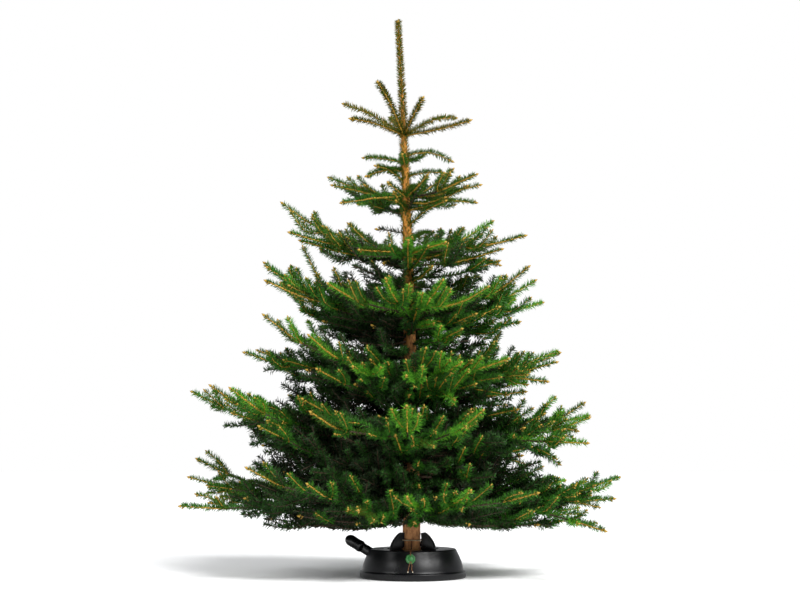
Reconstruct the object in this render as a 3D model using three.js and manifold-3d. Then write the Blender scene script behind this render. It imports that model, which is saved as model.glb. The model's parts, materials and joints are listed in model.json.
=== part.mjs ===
// A cut spruce Christmas tree of about two metres, clamped in a round stand with a foot lever.
// Millimetres, +Z up. The origin is the middle of the stand's flat underside, +X is to the tree's
// right as seen from its front, and the front faces -Y. Azimuths turn from +X towards the back, +Y.
import * as THREE from 'three';
import { mergeVertices } from 'three/addons/utils/BufferGeometryUtils.js';
import Module from 'manifold-3d';

const wasm = await Module();
wasm.setup();

// ---------------------------------------------------------------- driving dimensions

const GAP = 0.3;                    // clearance between touching pieces

const TREE_TIP = 2002;              // height of the leader's tip
const TRUNK_TIP = 1984;             // height of the woody tip inside the leader's needles
const TRUNK_LEAN = 48;              // how far the tip leans to the left
const LEAN_CURVE = 2.4;             // nearly all of the lean is in the upper half
const TRUNK_FOOT_OFFSET = 4;        // how far the butt stands left of the middle
const TRUNK_BUTT_RADIUS = 39;
const TRUNK_CLAMP_RADIUS = 33;      // where the claws hold it
const TRUNK_CROWN_RADIUS = 11;      // just under the uppermost whorl
const LEADER_BASE_RADIUS = 6.5;
const LEADER_TIP_RADIUS = 2;
const FLARE_HEIGHT = 90;
const UPPERMOST_WHORL = 1564;

const STAND_RADIUS = 185;
const STAND_HEIGHT = 99;
const STAND_RIM_RADIUS = 153;
const STAND_WALL = 4;
const STAND_SEGMENTS = 18;
const WELL_RADIUS = 90;             // the opening in the stand's top
const WELL_LIP = 14;                // depth of the rolled lip round the opening
const BOSS_RADIUS = 52;
const BOSS_TOP = 14;                // the trunk's butt rests here

const CLAW_AZIMUTHS = [90, 210, 330];
const CLAW_THICKNESS = 15;
const CLAW_TOP = 157;
const CABLE_HEIGHT = 129;
const CABLE_RING_RADIUS = 41;
const CABLE_RADIUS = 1.8;

const LEVER_PIVOT = { x: -118, z: 68 };
const LEVER_ANGLE = 31;             // degrees above level at rest
const LEVER_LENGTH = 146;           // pivot to the pad's end
const LEVER_PAD_RADIUS = 22;
const LEVER_NECK_RADIUS = 13;
const LEVER_PAD_LENGTH = 74;
const LEVER_PIN_RADIUS = 6;
const LEVER_BORE_RADIUS = 6.7;      // clears the pin's corners at every angle
const LEVER_HUB_RADIUS = 14;
const LEVER_HUB_WIDTH = 26;
const LEVER_SLOT_CLEARANCE = 3;
const LEVER_SLOT_INNER = 100;       // the slot runs in from the stand's side to this radius
const LEVER_SLOT_FLOOR = 52;
const CHEEK_THICKNESS = 6;

const SEAL_RADIUS = 17;
const SEAL_THICKNESS = 4.5;
const SEAL_HEIGHT = 74;             // height of its middle
const SEAL_OFFSET = -9;             // how far it hangs left of the middle
const STRING_RADIUS = 1.6;
const TAIL_LENGTH = 27;

// Each tier of foliage: the height where its limbs leave the trunk, how far from the trunk its
// foliage starts, the limbs' sag, how deep the foliage is for its width, and the cone over the
// tier, as a height at the trunk and a slope. Each mass is a fan of fingers between two azimuths,
// and its reach and rise go from the first finger's to the last one's.
const TIERS = [
  { name: 'tier_7', height: 267, start: 112, sag: 62, ceiling: 366, slope: 0.09, bough: 13,
    depth: 1.15, masses: [
      { side: 'right', azimuth: [-24, 14], reach: [690, 775], rise: [-92, 74], fingers: 3 },
      { side: 'back_right', azimuth: [36, 80], reach: [720, 740], rise: [60, 110], fingers: 3 },
      { side: 'back_left', azimuth: [98, 142], reach: [700, 780], rise: [90, 60], fingers: 3 },
      { side: 'left', azimuth: [163, 199], reach: [818, 806], rise: [140, -14], fingers: 3 },
      { side: 'front_left', azimuth: [215, 250], reach: [650, 500], rise: [110, -20], fingers: 3 },
      { side: 'front_right', azimuth: [268, 318], reach: [450, 540], rise: [20, 30], fingers: 3 },
    ] },
  { name: 'tier_6', height: 462, start: 92, sag: 50, ceiling: 576, slope: 0.118, bough: 11.5,
    depth: 1.15, masses: [
      { side: 'right', azimuth: [-26, 16], reach: [642, 655], rise: [0, 148], fingers: 3 },
      { side: 'back_right', azimuth: [44, 88], reach: [620, 650], rise: [90, 120], fingers: 3 },
      { side: 'back_left', azimuth: [110, 148], reach: [660, 720], rise: [120, 80], fingers: 3 },
      { side: 'left', azimuth: [171, 207], reach: [796, 670], rise: [186, 176], fingers: 3 },
      { side: 'front', azimuth: [238, 298], reach: [600, 480], rise: [92, 100], fingers: 3 },
    ] },
  { name: 'tier_5', height: 686, start: 0, sag: 36, ceiling: 796, slope: 0.22, bough: 0,
    depth: 1.1, masses: [
      { side: 'right', azimuth: [-26, 16], reach: [506, 562], rise: [-16, 106], fingers: 3 },
      { side: 'back', azimuth: [58, 120], reach: [520, 560], rise: [70, 100], fingers: 3 },
      { side: 'left', azimuth: [148, 185], reach: [610, 578], rise: [108, 92], fingers: 3 },
      { side: 'front_left', azimuth: [205, 246], reach: [544, 460], rise: [204, 20], fingers: 3 },
      { side: 'front_right', azimuth: [268, 318], reach: [440, 430], rise: [-10, 54], fingers: 3 },
    ] },
  { name: 'tier_4', height: 901, start: 0, sag: 24, ceiling: 1020, slope: 0.2, bough: 0,
    depth: 1.0, masses: [
      { side: 'right', azimuth: [-10, 22], reach: [420, 527], rise: [176, 82], fingers: 3 },
      { side: 'back_right', azimuth: [54, 96], reach: [420, 440], rise: [120, 90], fingers: 3 },
      { side: 'back_left', azimuth: [114, 148], reach: [430, 470], rise: [100, 60], fingers: 3 },
      { side: 'left', azimuth: [172, 202], reach: [524, 525], rise: [210, 112], fingers: 3 },
      { side: 'front', azimuth: [229, 316], reach: [410, 360], rise: [88, 84], fingers: 4 },
    ] },
  { name: 'tier_3', height: 1130, start: 0, sag: 12, ceiling: 1234, slope: 0.25, bough: 0,
    depth: 0.75, masses: [
      { side: 'right', azimuth: [-12, 10], reach: [414, 330], rise: [58, -24], fingers: 2 },
      { side: 'back_right', azimuth: [28, 74], reach: [350, 330], rise: [150, 96], fingers: 3 },
      { side: 'back_left', azimuth: [108, 146], reach: [330, 370], rise: [84, 110], fingers: 2 },
      { side: 'left', azimuth: [173, 201], reach: [454, 434], rise: [198, 58], fingers: 2 },
      { side: 'front', azimuth: [236, 304], reach: [290, 220], rise: [-14, 20], fingers: 3 },
    ] },
  { name: 'tier_2', height: 1333, start: 0, sag: 0, ceiling: 1432, slope: 0.3, bough: 0,
    depth: 0.65, masses: [
      { side: 'right', azimuth: [-34, 16], reach: [288, 258], rise: [58, 4], fingers: 3 },
      { side: 'back', azimuth: [38, 126], reach: [214, 300], rise: [136, 30], fingers: 3 },
      { side: 'left', azimuth: [158, 204], reach: [300, 244], rise: [102, -28], fingers: 3 },
      { side: 'front', azimuth: [246, 300], reach: [150, 140], rise: [34, 62], fingers: 2 },
    ] },
];
const CROWN_FLOOR = 164;            // nothing of the lowest tier hangs below this
const BOUGH_SOCKET = 34;            // how far a bough runs into its mass
const BOUGH_DROP = 14;              // how much lower than its tier a bough leaves the trunk
const BOUGH_ARCH = 7;
const BOUGH_TAPER = [1.12, 0.72];   // of the tier's bough radius, at the trunk and at the mass
const FINGER_WIDTH = 0.2;           // a finger's half width at its widest, over its length
const FINGER_WIDEST = 102;          // the most that it may be
const SHORT_FINGER = 360;           // fingers shorter than this have one ring less
const FINGER_TIP = 11;              // half the width of the one shoot at its end
const FINGER_UNEVEN = 0.14;
const MIDDLE_SHORTER = 0.05;        // a fan's middle finger is this much shorter than its sides
const MIDDLE_HIGHER = 14;
const CELL_REACH = 1200;            // past the furthest finger
const CELL_SIDES = 8;

// Single shoots clothed in needles: azimuth, reach, rise and arch of each.
const SHOOT_RADIUS = 15;
const LEADER_RADII = [17, 11];      // of its needles, at the bottom and at the tip
const LEADER_CLEARANCE = 36;        // bare stem between the uppermost whorl and its needles
const TOP_SHOOTS = [
  { name: 'top_shoot_1', azimuth: 342, reach: 241, rise: 41, arch: 34 },
  { name: 'top_shoot_2', azimuth: 28, reach: 211, rise: 94, arch: 8 },
  { name: 'top_shoot_3', azimuth: 108, reach: 150, rise: 104, arch: 0 },
  { name: 'top_shoot_4', azimuth: 162, reach: 226, rise: 137, arch: 6 },
  { name: 'top_shoot_5', azimuth: 203, reach: 199, rise: 47, arch: 10 },
  { name: 'top_shoot_6', azimuth: 252, reach: 285, rise: 126, arch: 10 },
  { name: 'top_shoot_7', azimuth: 297, reach: 143, rise: 107, arch: -4 },
];
const SPUR_SHOOTS = [
  { name: 'spur_shoot_1', height: 1489, azimuth: 350, reach: 166, rise: -18, arch: 34 },
  { name: 'spur_shoot_2', height: 1464, azimuth: 176, reach: 142, rise: 25, arch: 4 },
  { name: 'spur_shoot_3', height: 1434, azimuth: 208, reach: 150, rise: -26, arch: 14 },
];

// ---------------------------------------------------------------- materials

function finish(color, roughness, metalness = 0) {
  return new THREE.MeshStandardMaterial({ color, roughness, metalness });
}

const BARK = finish('#6b4a2f', 0.9);
const NEEDLES = finish('#1f4d1c', 0.75);
const YOUNG_NEEDLES = finish('#4c5a1c', 0.75);
const STAND_PLASTIC = finish('#17181a', 0.42);
const CLAW_STEEL = finish('#26282b', 0.4, 0.7);
const CABLE_STEEL = finish('#b9b2a6', 0.35, 0.9);
const SEAL_WAX = finish('#3f7d3a', 0.5);

// ---------------------------------------------------------------- solids

const radians = THREE.MathUtils.degToRad;
const mix = THREE.MathUtils.lerp;

function toSolid(geometry) {
  geometry.deleteAttribute('normal');
  geometry.deleteAttribute('uv');
  const merged = mergeVertices(geometry, 1e-3);
  return new wasm.Manifold(new wasm.Mesh({
    numProp: 3,
    vertProperties: new Float32Array(merged.attributes.position.array),
    triVerts: new Uint32Array(merged.index.array),
  }));
}

function toMesh(name, solid, material) {
  const { vertProperties, triVerts } = solid.getMesh();
  const geometry = new THREE.BufferGeometry();
  geometry.setAttribute('position', new THREE.Float32BufferAttribute(vertProperties, 3));
  geometry.setIndex(Array.from(triVerts));
  geometry.computeVertexNormals();
  const mesh = new THREE.Mesh(geometry, material);
  mesh.name = name;
  return mesh;
}

function union(solids) {
  return solids.reduce((sum, solid) => sum.add(solid));
}

// Moves a cylinder ring by ring onto a curve. halfSide and halfUp give the half sizes at 0..1 along
// it; a pointed limb ends in a single tip, a blunt one in a flat cut.
function limb(curve, { sides, steps, halfSide, halfUp = halfSide, pointed = false, uneven = 0,
  phase = 0, grow = 0 }) {
  const geometry = new THREE.CylinderGeometry(pointed ? 0 : 1, 1, 1, sides, steps);
  const position = geometry.attributes.position;
  for (let i = 0; i < position.count; i += 1) {
    const along = position.getY(i) + 0.5;
    const across = Math.hypot(position.getX(i), position.getZ(i));
    const centre = curve.getPoint(along);
    if (across > 1e-6) {
      const tangent = curve.getTangent(along);
      const reference = new THREE.Vector3(0, 0, 1);
      if (Math.abs(tangent.z) > 0.9) reference.set(0, 1, 0);
      const up = reference.addScaledVector(tangent, -tangent.dot(reference)).normalize();
      const side = new THREE.Vector3().crossVectors(tangent, up);
      const corner = Math.round(Math.atan2(position.getX(i), position.getZ(i)) / (2 * Math.PI / sides));
      const wrapped = (corner + sides) % sides;
      const bump = 1 + uneven * Math.sin(wrapped * 2.1 + along * steps * 2.7 + phase);
      centre.addScaledVector(side, (halfSide(along) * bump + grow) * position.getX(i) / across);
      centre.addScaledVector(up, (halfUp(along) * bump + grow) * position.getZ(i) / across);
    }
    position.setXYZ(i, centre.x, centre.y, centre.z);
  }
  return toSolid(geometry);
}

function turned(points, segments) {
  const profile = points.map(([radius, height]) => new THREE.Vector2(radius, height));
  const geometry = new THREE.LatheGeometry(profile, segments);
  geometry.rotateX(Math.PI / 2);
  return toSolid(geometry);
}

function box(size, centre) {
  const geometry = new THREE.BoxGeometry(...size);
  geometry.translate(...centre);
  return toSolid(geometry);
}

function pinAlongY(radius, width, centre) {
  const geometry = new THREE.CylinderGeometry(radius, radius, width, 12);
  geometry.translate(...centre);
  return toSolid(geometry);
}

// ---------------------------------------------------------------- trunk

function leanAt(height) {
  return -TRUNK_FOOT_OFFSET - TRUNK_LEAN * (height / TREE_TIP) ** LEAN_CURVE;
}

class TrunkLine extends THREE.Curve {
  constructor(bottom, top) {
    super();
    this.bottom = bottom;
    this.top = top;
  }

  // The rings lie closer together near the bottom, where the trunk flares.
  heightAt(t) {
    return mix(this.bottom, this.top, t ** 1.3);
  }

  getPoint(t, target = new THREE.Vector3()) {
    const height = this.heightAt(t);
    return target.set(leanAt(height), 0, height);
  }
}

function trunkRadius(height) {
  if (height > UPPERMOST_WHORL) {
    const up = (height - UPPERMOST_WHORL) / (TRUNK_TIP - UPPERMOST_WHORL);
    return mix(LEADER_BASE_RADIUS, LEADER_TIP_RADIUS, up);
  }
  const taper = mix(TRUNK_CLAMP_RADIUS + 0.8, TRUNK_CROWN_RADIUS, (height / UPPERMOST_WHORL) ** 1.05);
  const flare = Math.max(0, 1 - height / FLARE_HEIGHT) ** 2;
  return taper + (TRUNK_BUTT_RADIUS - TRUNK_CLAMP_RADIUS) * flare;
}

function trunkSolid(grow = 0) {
  const line = new TrunkLine(BOSS_TOP + GAP - grow, TRUNK_TIP + grow);
  return limb(line, {
    sides: 8,
    steps: 10,
    halfSide: (t) => trunkRadius(line.heightAt(t)),
    grow,
  });
}

const trunk = trunkSolid();
const trunkClear = trunkSolid(GAP);

// ---------------------------------------------------------------- foliage

function around(height, azimuth, distance, level) {
  const angle = radians(azimuth);
  return new THREE.Vector3(
    leanAt(height) + distance * Math.cos(angle), distance * Math.sin(angle), level);
}

// The curve of one finger of a fan, from the fan's root to the finger's own tip.
function fingerCurve(tier, root, heading, azimuth, reach, rise) {
  const length = reach - tier.start;
  const level = tier.height + rise;
  const leave = around(tier.height, heading, tier.start + 0.34 * length, root.z - 0.5 * tier.sag);
  const arrive = around(tier.height, azimuth, reach - 0.32 * length,
    mix(root.z, level, 0.45) - tier.sag);
  const tip = around(tier.height, azimuth, reach, level);
  return new THREE.CubicBezierCurve3(root, leave, arrive, tip);
}

// Needle-clad fingers are widest two fifths of the way out and end in one shoot's width.
function fingerHalfWidth(length) {
  const widest = Math.min(FINGER_WIDTH * length, FINGER_WIDEST);
  return (t) => FINGER_TIP + (widest - FINGER_TIP) * Math.sin(Math.PI * (0.16 + 0.84 * t)) ** 0.8;
}

// The sector of one tier that a mass may fill, so that no two masses meet.
function cell(tier, floor, from, to) {
  const ring = turned([
    [0, floor.ceiling],
    [CELL_REACH, floor.ceiling + floor.slope * CELL_REACH],
    [CELL_REACH, tier.ceiling + tier.slope * CELL_REACH - GAP],
    [0, tier.ceiling - GAP],
  ], CELL_SIDES);
  const middle = radians((from + to) / 2);
  const half = radians((to - from) / 2);
  const apex = GAP / 2 / Math.sin(half);
  const corner = (angle, distance) => [
    apex * Math.cos(middle) + distance * Math.cos(angle),
    apex * Math.sin(middle) + distance * Math.sin(angle),
  ];
  const outline = new THREE.Shape();
  outline.moveTo(...corner(middle, 0));
  outline.lineTo(...corner(middle - half, CELL_REACH));
  outline.lineTo(...corner(middle, 2 * CELL_REACH));
  outline.lineTo(...corner(middle + half, CELL_REACH));
  outline.closePath();
  const geometry = new THREE.ExtrudeGeometry(outline, { depth: TREE_TIP, bevelEnabled: false });
  geometry.translate(leanAt(tier.height), 0, 0);
  return ring.intersect(toSolid(geometry));
}

function headingOf(mass) {
  return (mass.azimuth[0] + mass.azimuth[1]) / 2;
}

function boughOf(tier, heading, grow = 0) {
  const end = tier.start + BOUGH_SOCKET;
  const from = around(tier.height, heading, 0, tier.height - BOUGH_DROP);
  const to = around(tier.height, heading, end + grow, tier.height);
  const bend = from.clone().lerp(to, 0.5);
  bend.z += BOUGH_ARCH;
  return limb(new THREE.QuadraticBezierCurve3(from, bend, to), {
    sides: 6,
    steps: 1,
    halfSide: (t) => tier.bough * mix(...BOUGH_TAPER, t),
    grow,
  });
}

function massOf(tier, mass, space, phase) {
  const heading = headingOf(mass);
  const root = around(tier.height, heading, tier.start, tier.height);
  const fingers = [];
  for (let i = 0; i < mass.fingers; i += 1) {
    const t = i / (mass.fingers - 1);
    const middle = 1 - Math.abs(2 * t - 1);
    const reach = mix(mass.reach[0], mass.reach[1], t) * (1 - MIDDLE_SHORTER * middle);
    const rise = mix(mass.rise[0], mass.rise[1], t) + MIDDLE_HIGHER * middle;
    const curve = fingerCurve(tier, root, heading, mix(mass.azimuth[0], mass.azimuth[1], t),
      reach, rise);
    const halfWidth = fingerHalfWidth(reach - tier.start);
    fingers.push(limb(curve, {
      sides: 5,
      steps: reach < SHORT_FINGER ? 2 : 3,
      halfSide: halfWidth,
      halfUp: (along) => mix(FINGER_TIP, halfWidth(along), tier.depth),
      pointed: true,
      uneven: FINGER_UNEVEN,
      phase: phase + 1.7 * i,
    }));
  }
  const solid = union(fingers).intersect(space).subtract(trunkClear);
  return tier.bough ? solid.subtract(boughOf(tier, heading, GAP)) : solid;
}

// The azimuths half-way between one fan and its neighbours round the trunk.
function sectorOf(fans, index) {
  const nearest = (azimuth, reference) => azimuth + 360 * Math.round((reference - azimuth) / 360);
  const count = fans.length;
  const [from, to] = fans[index].azimuth;
  const before = nearest(fans[(index + count - 1) % count].azimuth[1], from);
  const after = nearest(fans[(index + 1) % count].azimuth[0], to);
  return [(before + from) / 2, (to + after) / 2];
}

function tierMeshes(tier, index) {
  const floor = index > 0 ? TIERS[index - 1] : { ceiling: CROWN_FLOOR, slope: 0 };
  return tier.masses.flatMap((mass, i) => {
    const name = `${tier.name}_${mass.side}`;
    const space = cell(tier, floor, ...sectorOf(tier.masses, i));
    const meshes = [toMesh(`${name}_mass`, massOf(tier, mass, space, index + 2.3 * i), NEEDLES)];
    if (tier.bough) {
      meshes.push(toMesh(`${name}_bough`, boughOf(tier, headingOf(mass)).subtract(trunkClear), BARK));
    }
    return meshes;
  });
}

// One shoot clothed in needles all round.
function shootSolid({ height, azimuth, reach, rise, arch }) {
  const root = around(height, azimuth, 0, height);
  const tip = around(height, azimuth, reach, height + rise);
  const bend = around(height, azimuth, 0.55 * reach, height + 0.5 * rise + arch);
  return limb(new THREE.QuadraticBezierCurve3(root, bend, tip), {
    sides: 5,
    steps: 4,
    halfSide: (t) => SHOOT_RADIUS * Math.min(1, 0.72 + 0.9 * t, 2.9 * (1.06 - t)),
    pointed: true,
    uneven: 0.08,
    phase: azimuth,
  }).subtract(trunkClear);
}

// The shoots of the uppermost whorl crowd together at the trunk, so each keeps to its own sector.
function topShootMeshes() {
  const layer = { height: UPPERMOST_WHORL, ceiling: TREE_TIP, slope: 0 };
  const fans = TOP_SHOOTS.map(({ azimuth }) => ({ azimuth: [azimuth, azimuth] }));
  return TOP_SHOOTS.map((shoot, i) => {
    const space = cell(layer, TIERS[TIERS.length - 1], ...sectorOf(fans, i));
    const solid = shootSolid({ ...shoot, height: UPPERMOST_WHORL }).intersect(space);
    return toMesh(shoot.name, solid, YOUNG_NEEDLES);
  });
}

function leaderMesh() {
  const bottom = UPPERMOST_WHORL + LEADER_CLEARANCE;
  const solid = limb(new TrunkLine(bottom, TREE_TIP), {
    sides: 6,
    steps: 5,
    halfSide: (t) => mix(...LEADER_RADII, t) * Math.min(1, 0.7 + 3 * t, 6 * (1.03 - t)),
    pointed: true,
    uneven: 0.07,
  }).subtract(trunkClear);
  return toMesh('leader_shoot', solid, YOUNG_NEEDLES);
}

// ---------------------------------------------------------------- stand

const STAND_FACE = [
  [STAND_RADIUS - 7, 0],
  [STAND_RADIUS, 9],
  [STAND_RADIUS - 1, 21],
  [STAND_RADIUS - 4, 24],
  [STAND_RADIUS - 13, 54],
  [STAND_RIM_RADIUS, STAND_HEIGHT - 5],
  [STAND_RIM_RADIUS - 5, STAND_HEIGHT],
];

function standFaceRadius(height) {
  const upper = STAND_FACE.findIndex(([, level]) => level >= height);
  const [lowRadius, low] = STAND_FACE[upper - 1];
  const [highRadius, high] = STAND_FACE[upper];
  return mix(lowRadius, highRadius, (height - low) / (high - low));
}

function standSolid() {
  const shell = turned([
    [0, 0],
    ...STAND_FACE,
    [WELL_RADIUS, STAND_HEIGHT],
    [WELL_RADIUS, STAND_HEIGHT - WELL_LIP],
    [WELL_RADIUS + STAND_WALL, STAND_HEIGHT - WELL_LIP],
    [WELL_RADIUS + STAND_WALL, STAND_HEIGHT - STAND_WALL],
    [STAND_RIM_RADIUS - 2 * STAND_WALL, STAND_HEIGHT - STAND_WALL],
    [STAND_RADIUS - 13 - STAND_WALL, 54],
    [STAND_RADIUS - 3 * STAND_WALL, STAND_WALL],
    [BOSS_RADIUS, STAND_WALL],
    [BOSS_RADIUS, BOSS_TOP],
    [0, BOSS_TOP],
  ], STAND_SEGMENTS);
  const slotHalf = LEVER_NECK_RADIUS + LEVER_SLOT_CLEARANCE;
  const slotLength = STAND_RADIUS - LEVER_SLOT_INNER;
  const slot = box([slotLength, 2 * slotHalf, STAND_HEIGHT],
    [-STAND_RADIUS + slotLength / 2, 0, LEVER_SLOT_FLOOR + STAND_HEIGHT / 2]);
  const pivot = [LEVER_PIVOT.x, 0, LEVER_PIVOT.z];
  const cheekTop = LEVER_PIVOT.z + LEVER_PIN_RADIUS + 3;
  const cheekBottom = STAND_WALL / 2;
  const cheekOffset = (LEVER_HUB_WIDTH + CHEEK_THICKNESS) / 2 + GAP;
  const cheeks = [-1, 1].map((side) => box(
    [2 * LEVER_HUB_RADIUS, CHEEK_THICKNESS, cheekTop - cheekBottom],
    [LEVER_PIVOT.x, side * cheekOffset, (cheekTop + cheekBottom) / 2],
  ));
  const pin = pinAlongY(LEVER_PIN_RADIUS, 2 * cheekOffset + CHEEK_THICKNESS, pivot);
  return union([shell.subtract(slot), ...cheeks, pin]);
}

function leverSolid() {
  const padStart = LEVER_LENGTH - LEVER_PAD_LENGTH;
  const geometry = new THREE.LatheGeometry([
    [0, 0],
    [LEVER_NECK_RADIUS, 0],
    [LEVER_NECK_RADIUS, padStart],
    [LEVER_PAD_RADIUS - 4, padStart + 10],
    [LEVER_PAD_RADIUS, padStart + 26],
    [LEVER_PAD_RADIUS, LEVER_LENGTH - 22],
    [LEVER_PAD_RADIUS * 0.86, LEVER_LENGTH - 10],
    [LEVER_PAD_RADIUS * 0.5, LEVER_LENGTH - 2.5],
    [0, LEVER_LENGTH],
  ].map(([radius, along]) => new THREE.Vector2(radius, along)), 10);
  geometry.rotateZ(Math.PI / 2 - radians(LEVER_ANGLE));
  geometry.rotateX(Math.PI / 2);
  geometry.translate(LEVER_PIVOT.x, 0, LEVER_PIVOT.z);
  const pivot = [LEVER_PIVOT.x, 0, LEVER_PIVOT.z];
  const hub = pinAlongY(LEVER_HUB_RADIUS, LEVER_HUB_WIDTH, pivot);
  const bore = pinAlongY(LEVER_BORE_RADIUS, LEVER_HUB_WIDTH + 20, pivot);
  return toSolid(geometry).add(hub).subtract(bore);
}

function cableSolid(grow = 0) {
  const tube = CABLE_RADIUS + grow;
  const profile = [];
  const sides = 4;
  for (let i = 0; i <= sides; i += 1) {
    const angle = (i / sides) * 2 * Math.PI;
    profile.push([CABLE_RING_RADIUS + tube * Math.cos(angle), CABLE_HEIGHT + tube * Math.sin(angle)]);
  }
  return turned(profile, 12).translate([leanAt(CABLE_HEIGHT), 0, 0]);
}

function clawSolid(azimuth) {
  const heel = WELL_RADIUS * Math.cos(Math.PI / STAND_SEGMENTS) - GAP;
  const bite = TRUNK_CLAMP_RADIUS - 4;
  const outline = new THREE.Shape();
  outline.moveTo(bite, STAND_HEIGHT + 12);
  outline.lineTo(52, STAND_HEIGHT - 4);
  outline.lineTo(68, STAND_HEIGHT - 22);
  outline.lineTo(heel, STAND_HEIGHT - 20);
  outline.lineTo(heel, STAND_HEIGHT + 4);
  outline.quadraticCurveTo(heel - 6, CLAW_TOP - 20, 60, CLAW_TOP - 5);
  outline.quadraticCurveTo(52, CLAW_TOP, 46, CLAW_TOP);
  outline.lineTo(TRUNK_CLAMP_RADIUS + 4, CLAW_TOP - 3);
  outline.lineTo(bite, CLAW_TOP - 12);
  outline.closePath();
  const geometry = new THREE.ExtrudeGeometry(outline, {
    depth: CLAW_THICKNESS, bevelEnabled: false, curveSegments: 5,
  });
  geometry.translate(0, 0, -CLAW_THICKNESS / 2);
  geometry.rotateX(Math.PI / 2);
  geometry.rotateZ(radians(azimuth));
  return toSolid(geometry).subtract(trunkClear).subtract(cableSolid(GAP));
}

// The wax seal lies against the stand's front on a doubled string that hangs from the cable.
function sealSolid() {
  const tilt = Math.atan2(standFaceRadius(SEAL_HEIGHT - 10) - standFaceRadius(SEAL_HEIGHT + 10), 20);
  const outward = (height, clearance) => new THREE.Vector3(
    SEAL_OFFSET, -(standFaceRadius(height) + clearance), height);
  const disc = new THREE.CylinderGeometry(SEAL_RADIUS, SEAL_RADIUS, SEAL_THICKNESS, 12);
  disc.rotateX(-tilt);
  const centre = outward(SEAL_HEIGHT, GAP + SEAL_THICKNESS / 2 / Math.cos(tilt) + 1);
  disc.translate(centre.x, centre.y, centre.z);
  const front = leanAt(CABLE_HEIGHT);
  const rest = STRING_RADIUS + 3 * GAP;
  const section = new THREE.Shape();
  for (let i = 0; i < 4; i += 1) {
    const angle = (i / 4) * 2 * Math.PI;
    const corner = [STRING_RADIUS * Math.cos(angle), STRING_RADIUS * Math.sin(angle)];
    if (i === 0) section.moveTo(...corner);
    else section.lineTo(...corner);
  }
  section.closePath();
  const string = (points, steps) => toSolid(new THREE.ExtrudeGeometry(section, {
    steps,
    extrudePath: new THREE.CatmullRomCurve3(points),
  }));
  const hang = string([
    new THREE.Vector3(front, -CABLE_RING_RADIUS, CABLE_HEIGHT - CABLE_RADIUS - GAP),
    new THREE.Vector3(front - 1, -CABLE_RING_RADIUS - 6, CABLE_HEIGHT - 14),
    new THREE.Vector3(front - 2, -WELL_RADIUS + 10, STAND_HEIGHT + 5),
    new THREE.Vector3(SEAL_OFFSET, -WELL_RADIUS - 22, STAND_HEIGHT + rest),
    new THREE.Vector3(SEAL_OFFSET, -STAND_RIM_RADIUS + 5, STAND_HEIGHT + rest),
    new THREE.Vector3(SEAL_OFFSET, -STAND_RIM_RADIUS - rest, STAND_HEIGHT - 2),
    outward(SEAL_HEIGHT, rest + 1),
  ], 11);
  const tails = [-1, 1].map((side) => string([
    outward(SEAL_HEIGHT - 6, rest + 0.8),
    outward(SEAL_HEIGHT - SEAL_RADIUS, rest).add(new THREE.Vector3(side * 3, 0, 0)),
    outward(SEAL_HEIGHT - SEAL_RADIUS - TAIL_LENGTH, rest).add(new THREE.Vector3(side * 8 - 1, 0, 0)),
  ], 2));
  return union([toSolid(disc), hang, ...tails]);
}

// ---------------------------------------------------------------- assembly

const group = new THREE.Group();
group.add(toMesh('trunk', trunk, BARK));
TIERS.forEach((tier, index) => group.add(...tierMeshes(tier, index)));
group.add(...topShootMeshes());
SPUR_SHOOTS.forEach((shoot) => group.add(toMesh(shoot.name, shootSolid(shoot), YOUNG_NEEDLES)));
group.add(leaderMesh());
group.add(toMesh('stand_base', standSolid(), STAND_PLASTIC));
group.add(toMesh('foot_lever', leverSolid(), STAND_PLASTIC));
CLAW_AZIMUTHS.forEach((azimuth, i) => {
  group.add(toMesh(`claw_${i + 1}`, clawSolid(azimuth), CLAW_STEEL));
});
group.add(toMesh('claw_cable', cableSolid(), CABLE_STEEL));
group.add(toMesh('seal_tag', sealSolid(), SEAL_WAX));

export default group;
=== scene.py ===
"""The looks of a whole spruce in its cable-clamp stand: bark, boughs, twigs, needles and buds, grown
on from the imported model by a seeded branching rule, and the stand's pieces in full detail."""

import functools
import json
import math

import bmesh  # noqa: E402
import bpy  # noqa: E402
import numpy as np  # noqa: E402
from bpy.props import FloatProperty, FloatVectorProperty, IntProperty, PointerProperty  # noqa: E402
from bpy.types import Operator, Panel, PropertyGroup  # noqa: E402
from mathutils import Matrix, Vector, noise  # noqa: E402
from mathutils.bvhtree import BVHTree  # noqa: E402


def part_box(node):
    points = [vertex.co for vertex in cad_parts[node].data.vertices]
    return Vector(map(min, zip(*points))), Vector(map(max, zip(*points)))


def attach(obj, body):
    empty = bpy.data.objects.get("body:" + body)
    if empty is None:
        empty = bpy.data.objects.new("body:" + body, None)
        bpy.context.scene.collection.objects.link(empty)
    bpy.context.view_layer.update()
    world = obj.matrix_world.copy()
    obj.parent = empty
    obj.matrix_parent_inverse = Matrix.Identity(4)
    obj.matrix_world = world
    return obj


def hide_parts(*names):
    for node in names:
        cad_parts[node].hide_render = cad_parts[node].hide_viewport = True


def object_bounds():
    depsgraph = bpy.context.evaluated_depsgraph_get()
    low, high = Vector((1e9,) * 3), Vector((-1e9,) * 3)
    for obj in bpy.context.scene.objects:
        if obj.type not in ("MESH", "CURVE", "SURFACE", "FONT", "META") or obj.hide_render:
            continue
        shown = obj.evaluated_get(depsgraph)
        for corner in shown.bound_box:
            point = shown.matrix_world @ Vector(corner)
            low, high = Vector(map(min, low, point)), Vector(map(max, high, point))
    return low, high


bl_info = {
    "name": "Spruce in its stand",
    "version": (1, 0, 0),
    "blender": (4, 5, 0),
    "location": "View3D > Sidebar > Spruce",
    "description": "Grows a spruce on its packed frame and finishes the stand that holds it",
    "category": "Add Mesh",
}

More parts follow.
